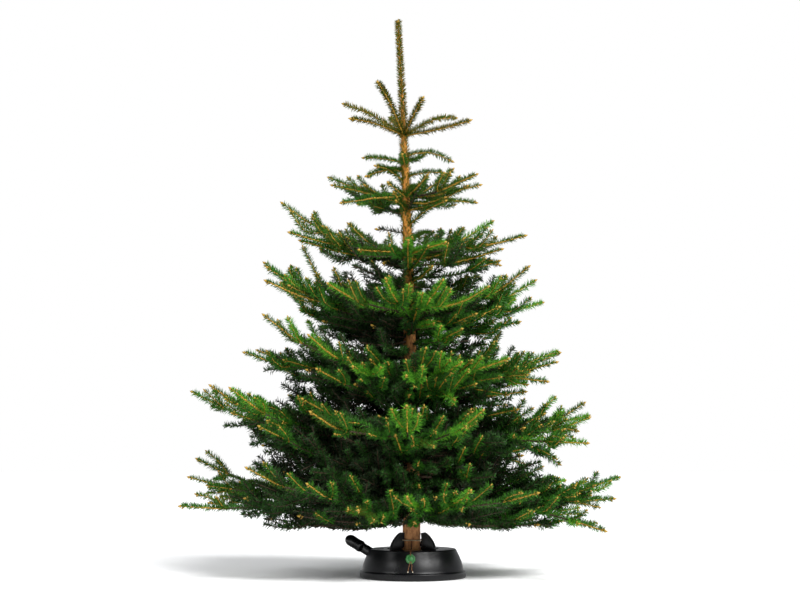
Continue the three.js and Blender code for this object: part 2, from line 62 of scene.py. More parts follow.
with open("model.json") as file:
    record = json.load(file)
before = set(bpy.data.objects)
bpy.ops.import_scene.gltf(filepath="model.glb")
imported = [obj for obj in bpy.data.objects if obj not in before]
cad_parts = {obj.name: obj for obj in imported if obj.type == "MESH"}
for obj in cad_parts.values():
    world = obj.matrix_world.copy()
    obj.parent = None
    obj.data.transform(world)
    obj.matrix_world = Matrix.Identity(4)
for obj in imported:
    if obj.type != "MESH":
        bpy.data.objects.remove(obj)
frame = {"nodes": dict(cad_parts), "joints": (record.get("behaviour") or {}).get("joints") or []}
NODES = frame["nodes"]
CAD_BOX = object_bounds()
TREE = "tree"
LEVER = "lever"

UP = np.array((0.0, 0.0, 1.0))
LEVEL = np.array((1.0, 1.0, 0.0))   # leaves out a direction's rise
FULL_TURN = 2 * math.pi
GOLDEN_ANGLE = math.pi * (3 - math.sqrt(5))
MERGE = 1e-6            # corners nearer than this are one
BOX_SLACK = 0.004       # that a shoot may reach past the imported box

# Whorls of foliage from the lowest up, and how strongly each grew.
TIERS = {"tier_7": 1.05, "tier_6": 1.15, "tier_5": 1.3, "tier_4": 1.5, "tier_3": 1.45, "tier_2": 1.5}
# Heights, and the share of the crown's radius in which shoots may leave the solid foliage there.
HEART = ((0.25, 0.5, 0.64, 0.69, 0.73, 0.78, 0.9), (0.8, 0.74, 0.62, 0.26, 0.3, 0.66, 0.6))
HEART_LOW = 0.25
HEART_HIGH = 1.06
SIDES = 12              # that the crown's outline is measured to
SPURS_LOW = 1.02        # the stem's short single shoots, from here
SPURS_HIGH = 1.49       # to here
STEM_NEEDLES_FROM = 1.0
LEADER = "leader_shoot"
LEADER_BUDS = 4
# How far a single shoot bows upwards at a third and two thirds of its way, for its length.
ARCH = (0.035, 0.05)
ARCHES = {"top_shoot_1": (-0.05, -0.075), "top_shoot_2": (0.05, 0.09)}

# How far side shoots turn upwards: least and most. The lowest whorls' lie flat, and some hang.
LIFT = {"tier_7": (-0.1, 0.5), "tier_6": (-0.3, 0.6), "tier_5": (-0.1, 0.7), "heart": (0.0, 0.9)}
USUAL_LIFT = (0.2, 0.8)
SHORTEST_SHOOT = 0.035

# Tones of needle, from the shaded inside of the crown to its sunlit tips, and the upper shoots'.
TONES = ("deep", "shade", "green", "bright", "golden", "olive")
GOLDEN, OLIVE = 4, 5
TONE_STEPS = (0.42, 0.64, 0.88)     # how much light parts the first four tones


# ---------------------------------------------------------------- sizes and colours


def linear(colour):
    """An sRGB hex colour as a linear colour."""
    parts = (int(colour[i:i + 2], 16) / 255 for i in (1, 3, 5))
    return (*(c / 12.92 if c <= 0.04045 else ((c + 0.055) / 1.055) ** 2.4 for c in parts), 1.0)


def metres(name, description, default):
    """A length that a user may change."""
    return FloatProperty(name=name, description=description, default=default, unit="LENGTH")


def base_colour(name, description, default):
    """A colour that a user may change, given as a hex value."""
    return FloatVectorProperty(name=name, description=description, default=linear(default)[:3],
                               subtype="COLOR")


class GrowthSizes(PropertyGroup):
    """How the tree branches."""

    seed: IntProperty(name="Seed", description="Start of the branching rule's chance", default=34)
    limb_year: metres("Limb year", "What a low limb grows in a year", 0.13)
    side_year: metres("Side year", "What a low side shoot grows in a year", 0.105)
    side_reach: metres("Side reach", "The most that a side branch reaches", 0.25)
    side_angle: FloatProperty(name="Side angle", description="From a limb to its side shoots",
                              default=math.radians(44), subtype="ANGLE")
    between: metres("Between whorls", "Height from one small shoot between whorls to the next", 0.016)
    stand_proud: metres("Stand proud", "How far a shoot may leave the solid crown", 0.034)


class NeedleSizes(PropertyGroup):
    """Needles, larger than life only as far as their number needs."""

    length: metres("Length", "Of a full needle", 0.0245)
    width: metres("Width", "Of a needle at its widest", 0.0035)
    spacing: metres("Spacing", "Between needles along a young twig", 0.00074)
    bud: metres("Bud", "Length of the bud at a shoot's end", 0.0155)


class TreeColours(PropertyGroup):
    """Base colours of the needles' tones: deep, shade, green and bright are one green at four levels of
    painted light and shade.
    """

    # From deep to bright the needles get lighter as painted light: painted shade deep in the crown,
    # painted sunlight on the outer tips.
    deep: base_colour("Deep", "Needles deep inside the crown", "#192a10")
    shade: base_colour("Shade", "Needles in half shade", "#254a16")
    green: base_colour("Green", "Full-grown needles in the light", "#39721d")
    bright: base_colour("Bright", "Last year's needles at the tips", "#5a9727")
    golden: base_colour("Golden", "Needles of the uppermost shoots", "#795c0d")
    olive: base_colour("Olive", "Needles of the whorls below those, and of many tips", "#3e5413")


# ---------------------------------------------------------------- small tools


def unit(v):
    """v, or each row of v, with a length of one."""
    return v / np.maximum(np.linalg.norm(v, axis=-1, keepdims=True), 1e-12)


def square_to(heading, nudge=1e-6):
    """The level direction square to each heading, and the one square to both."""
    side = unit(np.cross(heading, UP) + nudge)
    return side, np.cross(side, heading)


def turned(angle, first, second):
    """The direction at an angle from the first of two square directions to the second."""
    return math.cos(angle) * first + math.sin(angle) * second


def facing(turn, rise=0.0):
    """The direction that an angle round the stem faces."""
    return np.array((math.cos(turn), math.sin(turn), rise))


def plug(tree, node, **links):
    """Gives a node's sockets their values, or links them to other nodes' outputs."""
    for name, value in links.items():
        socket = node.inputs[name.replace("_", " ")]
        if isinstance(value, bpy.types.NodeSocket):
            tree.links.new(value, socket)
        else:
            socket.default_value = value


def add_node(tree, kind, settings=None, **links):
    """A node with its settings, whose sockets take values or other nodes' outputs."""
    node = tree.nodes.new(kind)
    for name, value in (settings or {}).items():
        setattr(node, name, value)
    plug(tree, node, **links)
    return node


def new_material(name):
    """An empty material: itself, its node tree, its shader, and the place on the piece."""
    made = bpy.data.materials.new(name)
    made.use_nodes = True
    tree = made.node_tree
    tree.nodes.clear()
    shader = tree.nodes.new("ShaderNodeBsdfPrincipled")
    out = tree.nodes.new("ShaderNodeOutputMaterial")
    tree.links.new(shader.outputs["BSDF"], out.inputs["Surface"])
    return made, tree, shader, add_node(tree, "ShaderNodeTexCoord").outputs["Object"]


def add_mesh(name, points, faces, material, smooth=False):
    """One mesh from arrays: points as rows, and faces all with the same number of corners."""
    mesh = bpy.data.meshes.new(name)
    mesh.vertices.add(len(points))
    mesh.vertices.foreach_set("co", np.asarray(points, np.float32).ravel())
    mesh.loops.add(faces.size)
    mesh.loops.foreach_set("vertex_index", faces.astype(np.int32).ravel())
    mesh.polygons.add(len(faces))
    mesh.polygons.foreach_set("loop_start", np.arange(0, faces.size, faces.shape[1], dtype=np.int32))
    mesh.polygons.foreach_set("use_smooth", np.full(len(faces), smooth))
    mesh.update(calc_edges=True)
    mesh.materials.append(material)
    return placed(name, mesh)


def joined(solids, faces):
    """Points and faces of many alike solids, from each one's corners and one solid's faces."""
    firsts = np.arange(len(solids))[:, None, None] * solids.shape[1]
    return solids.reshape(-1, 3), (firsts + faces).reshape(-1, 3)


def placed(name, data):
    """An object of this data in the scene."""
    made = bpy.data.objects.new(name, data)
    bpy.context.scene.collection.objects.link(made)
    return made


def seat(piece, body, nodes=()):
    """Puts a finished piece on its body and the CAD nodes that it stands for."""
    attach(piece, body)
    if nodes:
        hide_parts(*nodes)
    return piece


class Line:
    """A smooth line through points, measured along its length from its root."""

    def __init__(self, points):
        self.points = np.asarray(points, float)
        steps = np.linalg.norm(np.diff(self.points, axis=0), axis=1)
        self.at = np.concatenate(([0.0], np.cumsum(steps)))
        self.length = self.at[-1]

    def point(self, along):
        """The point, or points, this far along."""
        return np.stack([np.interp(along, self.at, self.points[:, k]) for k in range(3)], axis=-1)

    def heading(self, along, near=0.004):
        """The line's direction this far along, from the points just before and after."""
        after = self.point(np.minimum(along + near, self.length))
        before = self.point(np.maximum(along - near, 0))
        return unit(after - before)


def curve_through(points, per_span=5):
    """A Catmull-Rom line through a few points."""
    p = np.asarray(points, float)
    p = np.vstack((2 * p[0] - p[1], p, 2 * p[-1] - p[-2]))
    t = np.linspace(0, 1, per_span, endpoint=False)[:, None]
    rows = []
    for a, b, c, d in zip(p, p[1:], p[2:], p[3:]):
        rows.append(0.5 * (2 * b + (c - a) * t + (2 * a - 5 * b + 4 * c - d) * t ** 2
                           + (3 * b - a - 3 * c + d) * t ** 3))
    rows.append(p[-2][None])
    return Line(np.vstack(rows))


# ---------------------------------------------------------------- what the frame says


def merged(node):
    """A bmesh copy of a CAD node with its loose triangles joined."""
    made = bmesh.new()
    made.from_mesh(NODES[node].data)
    bmesh.ops.remove_doubles(made, verts=made.verts, dist=1e-5)
    return made


def corners(node):
    """A CAD node's corners as rows."""
    mesh = NODES[node].data
    rows = np.zeros(len(mesh.vertices) * 3)
    mesh.vertices.foreach_get("co", rows)
    return rows.reshape(-1, 3)


@functools.cache
def trunk_rings():
    """Height, middle and radius of each ring of the CAD trunk, from the cut to the tip."""
    thin, apart = 0.002, 0.006      # a ring's own height, and the least from one to the next
    points = corners("trunk")
    rings = []
    for height in np.unique(points[:, 2].round(3)):
        ring = points[abs(points[:, 2] - height) < thin]
        middle = (ring.min(0) + ring.max(0)) / 2
        if len(rings) and height - rings[-1][0] < apart:
            continue
        rings.append((height, *middle[:2], np.linalg.norm(ring[:, :2] - middle[:2], axis=1).max()))
    return np.array(rings)


def trunk_at(height):
    """The trunk's middle at a height."""
    rings = trunk_rings()
    return np.stack([np.interp(height, rings[:, 0], rings[:, k]) for k in (1, 2)]
                    + [np.asarray(height, float)], axis=-1)


def trunk_radius(height):
    """The trunk's radius at a height."""
    rings = trunk_rings()
    return np.interp(height, rings[:, 0], rings[:, 3])


def from_trunk(points):
    """How far each point lies from the trunk's middle at its own height."""
    return np.linalg.norm(points[:, :2] - trunk_at(points[:, 2])[:, :2], axis=1)


OUTERMOST = 0.004       # corners this near to the furthest one are a solid's outer end
INNERMOST = 0.012       # and this near to the nearest one, its inner end


def finger_tips(node):
    """The sharp outermost corners of a solid of foliage, each where one of its fingers ends."""
    def reach(co):
        return (co.xy - Vector(trunk_at(co.z)[:2])).length

    sharp = math.radians(220)       # all of a corner's angles together
    solid = merged(node)
    tips = []
    for corner in solid.verts:
        out = reach(corner.co)
        if any(reach(edge.other_vert(corner).co) >= out for edge in corner.link_edges):
            continue
        if sum(loop.calc_angle() for loop in corner.link_loops) < sharp:
            tips.append(np.array(corner.co))
    solid.free()
    return tips


@functools.cache
def solid_tree(node):
    """A search tree of one CAD node's faces."""
    solid = merged(node)
    tree = BVHTree.FromBMesh(solid)
    solid.free()
    return tree


def span_of(node, x, y):
    """The lowest and highest height of a mass over one spot, or nothing where it is open."""
    tree = solid_tree(node)
    top = tree.ray_cast(Vector((x, y, 3)), Vector((0, 0, -1)))[0]
    bottom = tree.ray_cast(Vector((x, y, -1)), Vector((0, 0, 1)))[0]
    return (bottom.z, top.z) if top and bottom else None


@functools.cache
def crown_tree():
    """A search tree of all the solid foliage together."""
    whole = bmesh.new()
    for name, node in NODES.items():
        if name.endswith("_mass") or "_shoot" in name:
            whole.from_mesh(node.data)
    tree = BVHTree.FromBMesh(whole)
    whole.free()
    return tree


@functools.cache
def lowest_foliage():
    """The height of the crown's underside."""
    return min(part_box(name)[0].z for name in NODES if name.endswith("_mass"))


def crown_floor(point):
    """The lowest that a shoot may hang: the crown's underside rises towards its front."""
    clear, slope = 0.014, 0.06
    return lowest_foliage() + clear + slope * max(0.0, -point[1])


@functools.cache
def crown_outline():
    """How far the foliage reaches from the trunk, a row for each height and a column for each side."""
    points = np.vstack([corners(name) for name in NODES if name.endswith("_mass")])
    across = points[:, :2] - trunk_at(points[:, 2])[:, :2]
    out = np.linalg.norm(across, axis=1)
    angles = np.arctan2(across[:, 1], across[:, 0])
    band, wedge, least = 0.11, 0.86, 0.06
    heights = np.linspace(0.16, 1.5, 28)
    reach = np.zeros((len(heights), SIDES))
    for row, height in enumerate(heights):
        for column in range(SIDES):
            turned = angles - FULL_TURN * column / SIDES
            near = (abs(points[:, 2] - height) < band) & (np.cos(turned) > wedge)
            reach[row, column] = out[near].max(initial=least)
    return heights, reach


def crown_radius(height, angle):
    """How far the foliage reaches from the trunk at a height, to the side that an angle faces."""
    heights, reach = crown_outline()
    column = angle * SIDES / FULL_TURN % SIDES
    first = int(column) % SIDES
    share = column % 1
    between = reach[:, first] * (1 - share) + reach[:, (first + 1) % SIDES] * share
    return np.interp(height, heights, between)


def outwardness(point):
    """How far out in the crown a point lies: nothing at the trunk, and one where the foliage ends."""
    across = point[:2] - trunk_at(point[2])[:2]
    return np.linalg.norm(across) / crown_radius(point[2], math.atan2(across[1], across[0]))


def heart_share(height):
    """The share of the crown's radius that its closed heart takes, less above than below."""
    return np.interp(height, *HEART)


def fits(point, proud):
    """Whether a point lies in the solid crown, no further than this outside it, or at its heart."""
    for value, low, high in zip(point, *CAD_BOX):
        if value < low - BOX_SLACK or value > high + BOX_SLACK:
            return False
    if point[2] < crown_floor(point):
        return False
    if HEART_LOW < point[2] < HEART_HIGH and outwardness(point) < heart_share(point[2]):
        return True
    spot, normal, _, distance = crown_tree().find_nearest(Vector(point))
    return distance < proud or (Vector(point) - spot).dot(normal) < 0


# ---------------------------------------------------------------- growth


class Axis:
    """One axis of growth: its line, its order from the limb out, and where its years end."""

    def __init__(self, line, order, tier, girth, bare=0.0):
        self.line = line
        self.order = order
        self.tier = tier
        self.girth = girth
        self.bare = bare
        self.tone = 0
        self.nodes = []


def limb_line(node, root, heading, tip):
    """A limb's line from its root, leaving along its heading and kept in the middle of its mass."""
    leaving, arriving, from_below = 0.34, 0.32, 0.35    # its two handles, for its length
    below, above = 0.45, 0.55                           # how it parts its mass
    length = np.linalg.norm((tip - root) * LEVEL)
    outward = unit((tip - trunk_at(tip[2])) * LEVEL)
    first = root + leaving * length * heading
    second = tip - arriving * length * (outward + from_below * UP)
    points = [root]
    for t in (0.25, 0.5, 0.75):
        spot = ((1 - t) ** 3 * root + 3 * t * (1 - t) ** 2 * first
                + 3 * t * t * (1 - t) * second + t ** 3 * tip)
        span = span_of(node, spot[0], spot[1])
        if span:
            spot[2] = below * span[0] + above * span[1]
        points.append(spot)
    points.append(tip)
    return points


def mass_names(tier):
    """The names of a tier's masses."""
    return sorted(name for name in NODES if name.startswith(tier) and name.endswith("_mass"))


def limb_root(name, heading, level):
    """Where a mass's limbs part: the end of its bare bough, or the trunk itself."""
    bough = name.replace("_mass", "_bough")
    if bough in NODES:
        points = corners(bough)
        out = np.linalg.norm(points[:, :2] - trunk_at(level)[:2], axis=1)
        return points[out > out.max() - OUTERMOST].mean(0)
    return trunk_at(level) + 0.5 * trunk_radius(level) * heading


# The short limbs that fill a mass: one for each stretch of its reach, and no fewer than this.
FILLER_EVERY = 0.1
FEWEST_FILLERS = 3
FILLER_REACH = (0.55, 0.95)         # of the mass's
FILLER_DEPTHS = (0.12, 0.9, 0.6)    # each ends low, high or between in its turn
FILLER_SAG = 0.05                   # at its middle, for the mass's reach
FILLER_GIRTH = 0.7                  # of a main limb's
FAN_WIDER = 1.12                    # than the fan of the main limbs
ROOT_LOWER = 0.05                   # they leave the trunk this far below the mass's middle,
ROOT_JITTER = 0.03                  # more or less,
ROOT_CLEAR = 0.06                   # and this far above the crown's underside


def filling_limbs(name, inner, reach, centre, spread, rng):
    """Short limbs between a mass's main ones, which end at different depths in it."""
    limbs = []
    fillers = max(FEWEST_FILLERS, round(reach / FILLER_EVERY))
    for i in range(fillers):
        angle = centre + spread * (2 * (i + rng.uniform(0.2, 0.8)) / fillers - 1) * FAN_WIDER
        out = reach * rng.uniform(*FILLER_REACH)
        spot = inner + out * facing(angle)
        span = span_of(name, spot[0], spot[1])
        if not span:
            continue
        depth = FILLER_DEPTHS[i % len(FILLER_DEPTHS)]
        spot[2] = max(span[0] * (1 - depth) + span[1] * depth, crown_floor(spot))
        height = inner[2] - ROOT_LOWER + rng.uniform(-ROOT_JITTER, ROOT_JITTER)
        start = trunk_at(max(height, lowest_foliage() + ROOT_CLEAR))
        bend = start + 0.5 * (spot - start)
        bend[2] = max(0.5 * (start[2] + spot[2]) - FILLER_SAG * reach, crown_floor(bend))
        limbs.append([start, bend, spot])
    return limbs


def mass_limbs(name, rng):
    """The lines of a mass's limbs: one to each finger tip, and shorter ones that fill its depth."""
    tips = finger_tips(name)
    middle = np.mean(tips, axis=0)
    low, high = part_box(name)
    span = span_of(name, *(trunk_at(middle[2])[:2] * 0.6 + middle[:2] * 0.4))
    level = (span[0] + span[1]) / 2 if span else (low.z + high.z) / 2
    inner = trunk_at(level)
    fan = unit((middle - inner) * LEVEL)
    root = limb_root(name, fan, level)
    limbs = [(limb_line(name, root, fan, tip), 1.0) for tip in tips]
    reach = np.linalg.norm((middle - inner)[:2])
    angles = [math.atan2(*(tip - inner)[1::-1]) for tip in tips]
    centre = math.atan2(fan[1], fan[0])
    spread = max(abs((a - centre + math.pi) % FULL_TURN - math.pi) for a in angles)
    fillers = filling_limbs(name, inner, reach, centre, spread, rng)
    return limbs + [(points, FILLER_GIRTH) for points in fillers]


def heart_limbs(growth, rng):
    """Small limbs that spring from the trunk between the whorls and close the crown's dark heart."""
    reaches, rises = (0.5, 1.08), (-0.15, 0.5)      # for the heart's radius, and for their own reach
    sag, closer = 0.06, 0.4
    limbs = []
    height = HEART_LOW + 0.02
    turn = 0
    while height < HEART_HIGH:
        turn += GOLDEN_ANGLE
        out = crown_radius(height, turn) * heart_share(height) * rng.uniform(*reaches)
        start = trunk_at(height)
        tip = start + out * facing(turn, rng.uniform(*rises))
        bend = 0.5 * (start + tip) - sag * out * UP
        limbs.append([start, bend, tip])
        height += closer * growth.between
    return limbs


def top_names():
    """The names of the uppermost shoots and the leader."""
    return sorted(name for name in NODES if "_shoot" in name)


def single_shoot(name):
    """The line of a shoot that hasn't branched, from the trunk through its solid to its tip."""
    near_root, near_third, at_thirds = 0.01, 0.14, (0.35, 0.65)
    points = corners(name)
    out = from_trunk(points)
    tip = points[out.argmax()]
    inner = points[out < out.min() + near_root].mean(0)
    root = trunk_at(inner[2])
    share = out / out.max()
    chord = tip - root
    arch = unit(UP - UP.dot(unit(chord)) * unit(chord)) * np.linalg.norm(chord)
    thirds = [points[abs(share - part) < near_third].mean(0) + rise * arch
              for part, rise in zip(at_thirds, ARCHES.get(name, ARCH))]
    return curve_through([root, *thirds, tip])


def spur_shoots(growth, rng):
    """Short single shoots that the stem bears between its upper whorls."""
    reaches, apart = (0.07, 0.15), (0.9, 2.0)
    inner_rise, outer_rise = (0.1, 0.4), (-0.1, 0.4)
    shoots = []
    height = SPURS_LOW
    turn = 0.6
    while height < SPURS_HIGH:
        turn += GOLDEN_ANGLE
        reach = rng.uniform(*reaches)
        start = trunk_at(height)
        out = facing(turn)
        middle = start + reach * (0.55 * out + rng.uniform(*inner_rise) * UP)
        tip = middle + reach * (0.5 * out + rng.uniform(*outer_rise) * UP)
        shoots.append(curve_through([start, middle, tip]))
        height += growth.between * rng.uniform(*apart)
    return shoots


# The branching rule: between which shares of its usual size chance picks each thing.
LAST_YEAR = (0.85, 1.15)
EARLIER_YEARS = (0.8, 1.15)
SIDE_ANGLES = (0.72, 1.22)
SIDE_LENGTHS = (0.72, 1.1)
RISING_ANGLE = 0.75         # of a side shoot's angle, for one that rises between the side shoots,
RISING_LENGTH = 0.62        # and of its length
TWIG_LENGTH = 0.8           # of a limb's side shoot's length, for a side shoot of a side shoot
RISING_OFTEN = 0.5          # how often a node has a rising shoot,
MISSING_OFTEN = 0.2         # and how often a side shoot's node lacks one of its shoots
ROLL = 0.25                 # how far a node is turned as a whole, at most,
ROLL_JITTER = 0.4           # and how far each of its shoots is, for itself
ONWARD = 0.3                # how much a side shoot's outer half turns back to its limb's heading
HANGING_PROUD = 1.6         # shoots that lie flat or hang may stand further out of the crown,
FLAT_BELOW = 0.1            # which are those with a smaller lift
SHORTENED = 0.78            # a shoot that leaves the crown is tried this much shorter,
TRIES = 5                   # this often, and then left out
NO_NODE_WITHIN = 0.03       # of an axis's bare end


def grow(axis, growth, rng, crown, vigour):
    """Gives an axis its yearly nodes, and each node its side shoots, which branch in their turn."""
    crown.append(axis)
    line = axis.line
    year = vigour * (growth.limb_year if axis.order == 0 else growth.side_year)
    at = line.length - year * rng.uniform(*LAST_YEAR)
    age = 1
    while at > axis.bare + NO_NODE_WITHIN:
        axis.nodes.append(at)
        heading = line.heading(at)
        side, over = square_to(heading, 1e-9)
        start = line.point(at)
        count = (3 if rng.random() < RISING_OFTEN else 2) + (axis.order == 0 and age == 1)
        turn = rng.uniform(-ROLL, ROLL)
        for k in range(count):
            rising = k > 1
            if axis.order > 0 and rng.random() < MISSING_OFTEN:
                continue
            # The first two lie left and right; a third rises between them.
            roll = turn + (0, math.pi, 0.5 * math.pi, -0.5 * math.pi)[k] + rng.normal(0, ROLL_JITTER)
            angle = growth.side_angle * rng.uniform(*SIDE_ANGLES) * (RISING_ANGLE if rising else 1)
            direction = turned(angle, heading, turned(roll, side, over))
            reach = min(age * growth.side_year * vigour, growth.side_reach * vigour)
            reach *= rng.uniform(*SIDE_LENGTHS) * (RISING_LENGTH if rising else 1)
            reach *= TWIG_LENGTH if axis.order else 1
            lift = rng.uniform(*LIFT.get(axis.tier, USUAL_LIFT))
            for _ in range(TRIES):
                tip = start + reach * unit(direction + ONWARD * heading + lift * UP)
                if fits(tip, growth.stand_proud * (HANGING_PROUD if lift < FLAT_BELOW else 1)):
                    break
                reach *= SHORTENED
            else:
                continue
            if reach < SHORTEST_SHOOT:
                continue
            bend = start + 0.5 * reach * direction
            child = Axis(curve_through([start, bend, tip], 3), axis.order + 1, axis.tier,
                         min(0.6 * axis.girth, 0.0011 + 0.011 * reach))
            grow(child, growth, rng, crown, vigour)
        at -= year * rng.uniform(*EARLIER_YEARS)
        age += 1


GOLDEN_FROM = 1.58          # heights
OLIVE_FROM = 0.95
# Painted light: sprays ending above each height are made lighter by this much, the first height that
# applies.
PAINTED_LIGHT_FROM = ((1.2, 0.22), (0.55, 0.12))


def tone_of(axis, rng):
    """The tone of a spray: painted light and shade, from how far out and how high in the crown it ends.
    """
    tip = axis.line.point(axis.line.length)
    across = unit(tip - trunk_at(tip[2]))
    outward = outwardness(tip)
    # Painted shade: sprays that face left lose light, and those that face right lose a little.
    left, right = max(0, -across[0]), max(0, across[0])
    light = outward + rng.normal(0, 0.1) - 0.22 * left - 0.05 * right
    if tip[2] > GOLDEN_FROM:
        return GOLDEN
    # Many of the outermost sprays are olive, more of them on the left, and most of the upper ones.
    if rng.random() < max(2 * (tip[2] - OLIVE_FROM), (0.2 + 0.3 * left) * (outward > 0.8)):
        return OLIVE
    # Painted light: the upper whorls' sprays are dealt a lighter tone.
    for height, more in PAINTED_LIGHT_FROM:
        if tip[2] > height:
            light += more
            break
    return int(np.searchsorted(TONE_STEPS, light))


@functools.cache
def grown_crown():
    """Every axis of the crown, grown once and shared by the wood, the needles and the buds."""
    growth = bpy.context.scene.spruce_growth
    rng = np.random.default_rng(growth.seed)
    crown = []
    for tier, vigour in TIERS.items():
        for name in mass_names(tier):
            for points, share in mass_limbs(name, rng):
                line = curve_through(points)
                axis = Axis(line, 0, tier, 0.0028 + 0.007 * line.length * share, 0.04 / vigour ** 2)
                grow(axis, growth, rng, crown, vigour)
    for points in heart_limbs(growth, rng):
        line = curve_through(points)
        grow(Axis(line, 0, "heart", 0.0028 + 0.006 * line.length, bare=0.03), growth, rng, crown, 1)
    for name in top_names():
        if name != LEADER:
            crown.append(Axis(single_shoot(name), 0, "top", 0.0028))
    for line in spur_shoots(growth, rng):
        crown.append(Axis(line, 0, "top", 0.0022))
    for axis in crown:
        axis.tone = tone_of(axis, rng)
    return crown


# ---------------------------------------------------------------- needles


HANGING = -0.78             # how far down a needle may point before it is turned up,
TURNED_UP = -0.4            # and how far up it then points, for that
NEEDLE_LENGTHS = (0.78, 1.08)
BELLY_AT = 0.42             # where along a needle it is widest
BELLY_DEEP = 0.3            # and how far it is folded there, for its width
AROUND_JITTER = 0.35        # round the twig, in radians
LEAN_JITTER = 8             # in degrees
TWIST_JITTER = 0.4          # round the needle itself
STUNTED = 0.55              # the share of its length that a needle has at a shoot's very end


def needle_block(line, start, end, spacing, length, width, rng, lean=50, lift=0.1, flat=0.88,
                 girth=None):
    """Needles round a stretch of twig as folded kites: their corners, four to a needle.
    They lean from it by an angle in degrees, and girth is the twig's radius, if it matters."""
    count = max(2, int((end - start) / spacing))
    at = start + (end - start) * (np.arange(count) + rng.random(count)) / count
    base = line.point(at)
    heading = line.heading(at)
    side, over = square_to(heading)
    around = GOLDEN_ANGLE * np.arange(count) + rng.normal(0, AROUND_JITTER, count)
    radial = np.cos(around)[:, None] * side + flat * np.sin(around)[:, None] * over
    if girth is not None:
        base = base + 0.9 * girth(base[:, 2])[:, None] * radial
    # Few needles grow from a twig's underside, so its wood shows from below.
    hanging = radial[:, 2] < HANGING
    radial[hanging] *= (1, 1, TURNED_UP)
    radial = unit(radial + lift * UP)
    tilt = np.radians(rng.normal(lean, LEAN_JITTER, count))[:, None]
    direction = unit(np.cos(tilt) * heading + np.sin(tilt) * radial)
    near_end = np.clip((end - at) / (0.35 * length) * 0.35 + STUNTED, STUNTED, 1)
    size = (length * rng.uniform(*NEEDLE_LENGTHS, count) * near_end)[:, None]
    across = unit(np.cross(direction, radial))
    roll = rng.normal(0, TWIST_JITTER, count)[:, None]
    upper = np.cross(across, direction)
    across = np.cos(roll) * across + np.sin(roll) * upper
    upper = np.cross(across, direction)
    half = 0.5 * width * across
    belly = base + BELLY_AT * size * direction - BELLY_DEEP * width * upper
    tip = base + size * (direction + 0.1 * upper)
    return np.stack((base, belly + half, tip, belly - half), axis=1)


# What each tone of needle is mixed with, one step darker, so that single needles stand out: for the four
# lit tones, a step of painted shade.
DARKER = (0, 0, 1, 2, OLIVE, 2)
# Deep in the shade needles stand further apart, and are drawn wider for it.
APART = (3.0, 1.4, 1.0, 1.0, 1.0, 1.0)
WIDER = (1.35, 1.1, 1.0, 1.0, 1.0, 1.0)
AGEING = (1, 1.1, 1.4, 1.8, 2.4)    # how far apart they stand after each year
SHORTEST_YEAR = 0.012
NEEDLE_FACES = np.array(((0, 1, 2), (0, 2, 3)))


def axis_needles(axis, sizes, rng, blocks):
    """Clothes an axis year by year: fresh and dense at its end, thinner and darker further in, a darker
    tone that is painted shade as well as older needles.
    """
    ends = [axis.line.length, *axis.nodes, axis.bare]
    upper = axis.tone in (GOLDEN, OLIVE)
    for age, (end, start) in enumerate(zip(ends, ends[1:]), 1):
        if end - start < SHORTEST_YEAR or age > (4 if axis.order == 0 else len(AGEING)):
            continue
        # Needles from the third year on take the next darker tone: painted shade further into the crown,
        # and the darker green of older needles.
        tone = axis.tone if upper else max(0, axis.tone - (age > 2))
        spacing = sizes.spacing * AGEING[age - 1] * APART[tone]
        spacing *= 0.75 if axis.tier == "top" else 1
        length = sizes.length * (0.88 if upper else 1)
        width = sizes.width * WIDER[tone]
        lean = 60 if upper else 55
        often, seldom = 1.5, 3.0
        own, darker = (seldom, often) if tone == GOLDEN else (often, seldom)
        for shade, thinned in ((tone, own), (DARKER[tone], darker)):
            blocks.setdefault((axis.tier, TONES[shade]), []).append(
                needle_block(axis.line, start, end, spacing * thinned, length, width, rng, lean))


# The stem's own needles: their spacing and length for the crown's, and their lean in degrees.
LEADER_NEEDLES = (0.8, 0.72, 56)
LOWER_NEEDLES = (1.4, 0.75, 44)


def stem_needles(sizes, rng, blocks):
    """The needles that the stem itself still carries: dense on the leader, sparse below it."""
    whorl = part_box(LEADER)[0].z
    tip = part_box(LEADER)[1].z
    stem = Line([trunk_at(h) for h in np.linspace(whorl, tip - 0.006, 40)])
    below = Line([trunk_at(h) for h in np.linspace(STEM_NEEDLES_FROM, whorl, 40)])
    for line, (spacing, length, lean) in ((stem, LEADER_NEEDLES), (below, LOWER_NEEDLES)):
        for tone in ("golden", "olive"):
            blocks.setdefault(("top", tone), []).append(needle_block(
                line, 0, line.length, spacing * sizes.spacing, length * sizes.length,
                0.95 * sizes.width, rng, lean, 0, 1.0, trunk_radius))


# ---------------------------------------------------------------- wood


def tube_block(line, start, end, girths, sides):
    """A twig's tapering tube as points and quads."""
    steps = max(2, min(7, int((end - start) / 0.045) + 1))
    at = np.linspace(start, end, steps + 1)
    middle = line.point(at)
    side, over = square_to(line.heading(at))
    girth = np.linspace(girths[0], girths[1], steps + 1)[:, None]
    rings = []
    for k in range(sides):
        rings.append(middle + girth * turned(FULL_TURN * k / sides, side, over))
    points = np.stack(rings, axis=1).reshape(-1, 3)
    i = np.arange(steps)[:, None] * sides
    k = np.arange(sides)[None]
    following = (k + 1) % sides
    faces = np.stack((i + k, i + following, i + sides + following, i + sides + k), axis=-1)
    return points, faces.reshape(-1, 4)


BUD_FACES = np.array([face for k in range(4) for face in ((0, 1 + k, 1 + (k + 1) % 4),
                                                          (5, 1 + (k + 1) % 4, 1 + k))])


def bud_block(points, directions, length):
    """Pointed buds, each an oval of eight faces that points along its direction."""
    side, over = square_to(directions)
    length = np.asarray(length)[:, None]
    belly = points + 0.4 * length * directions
    rows = [points]
    for k in range(4):
        rows.append(belly - 0.3 * length * turned(0.5 * math.pi * k, side, over))
    rows.append(points + length * directions)
    return np.stack(rows, axis=1)


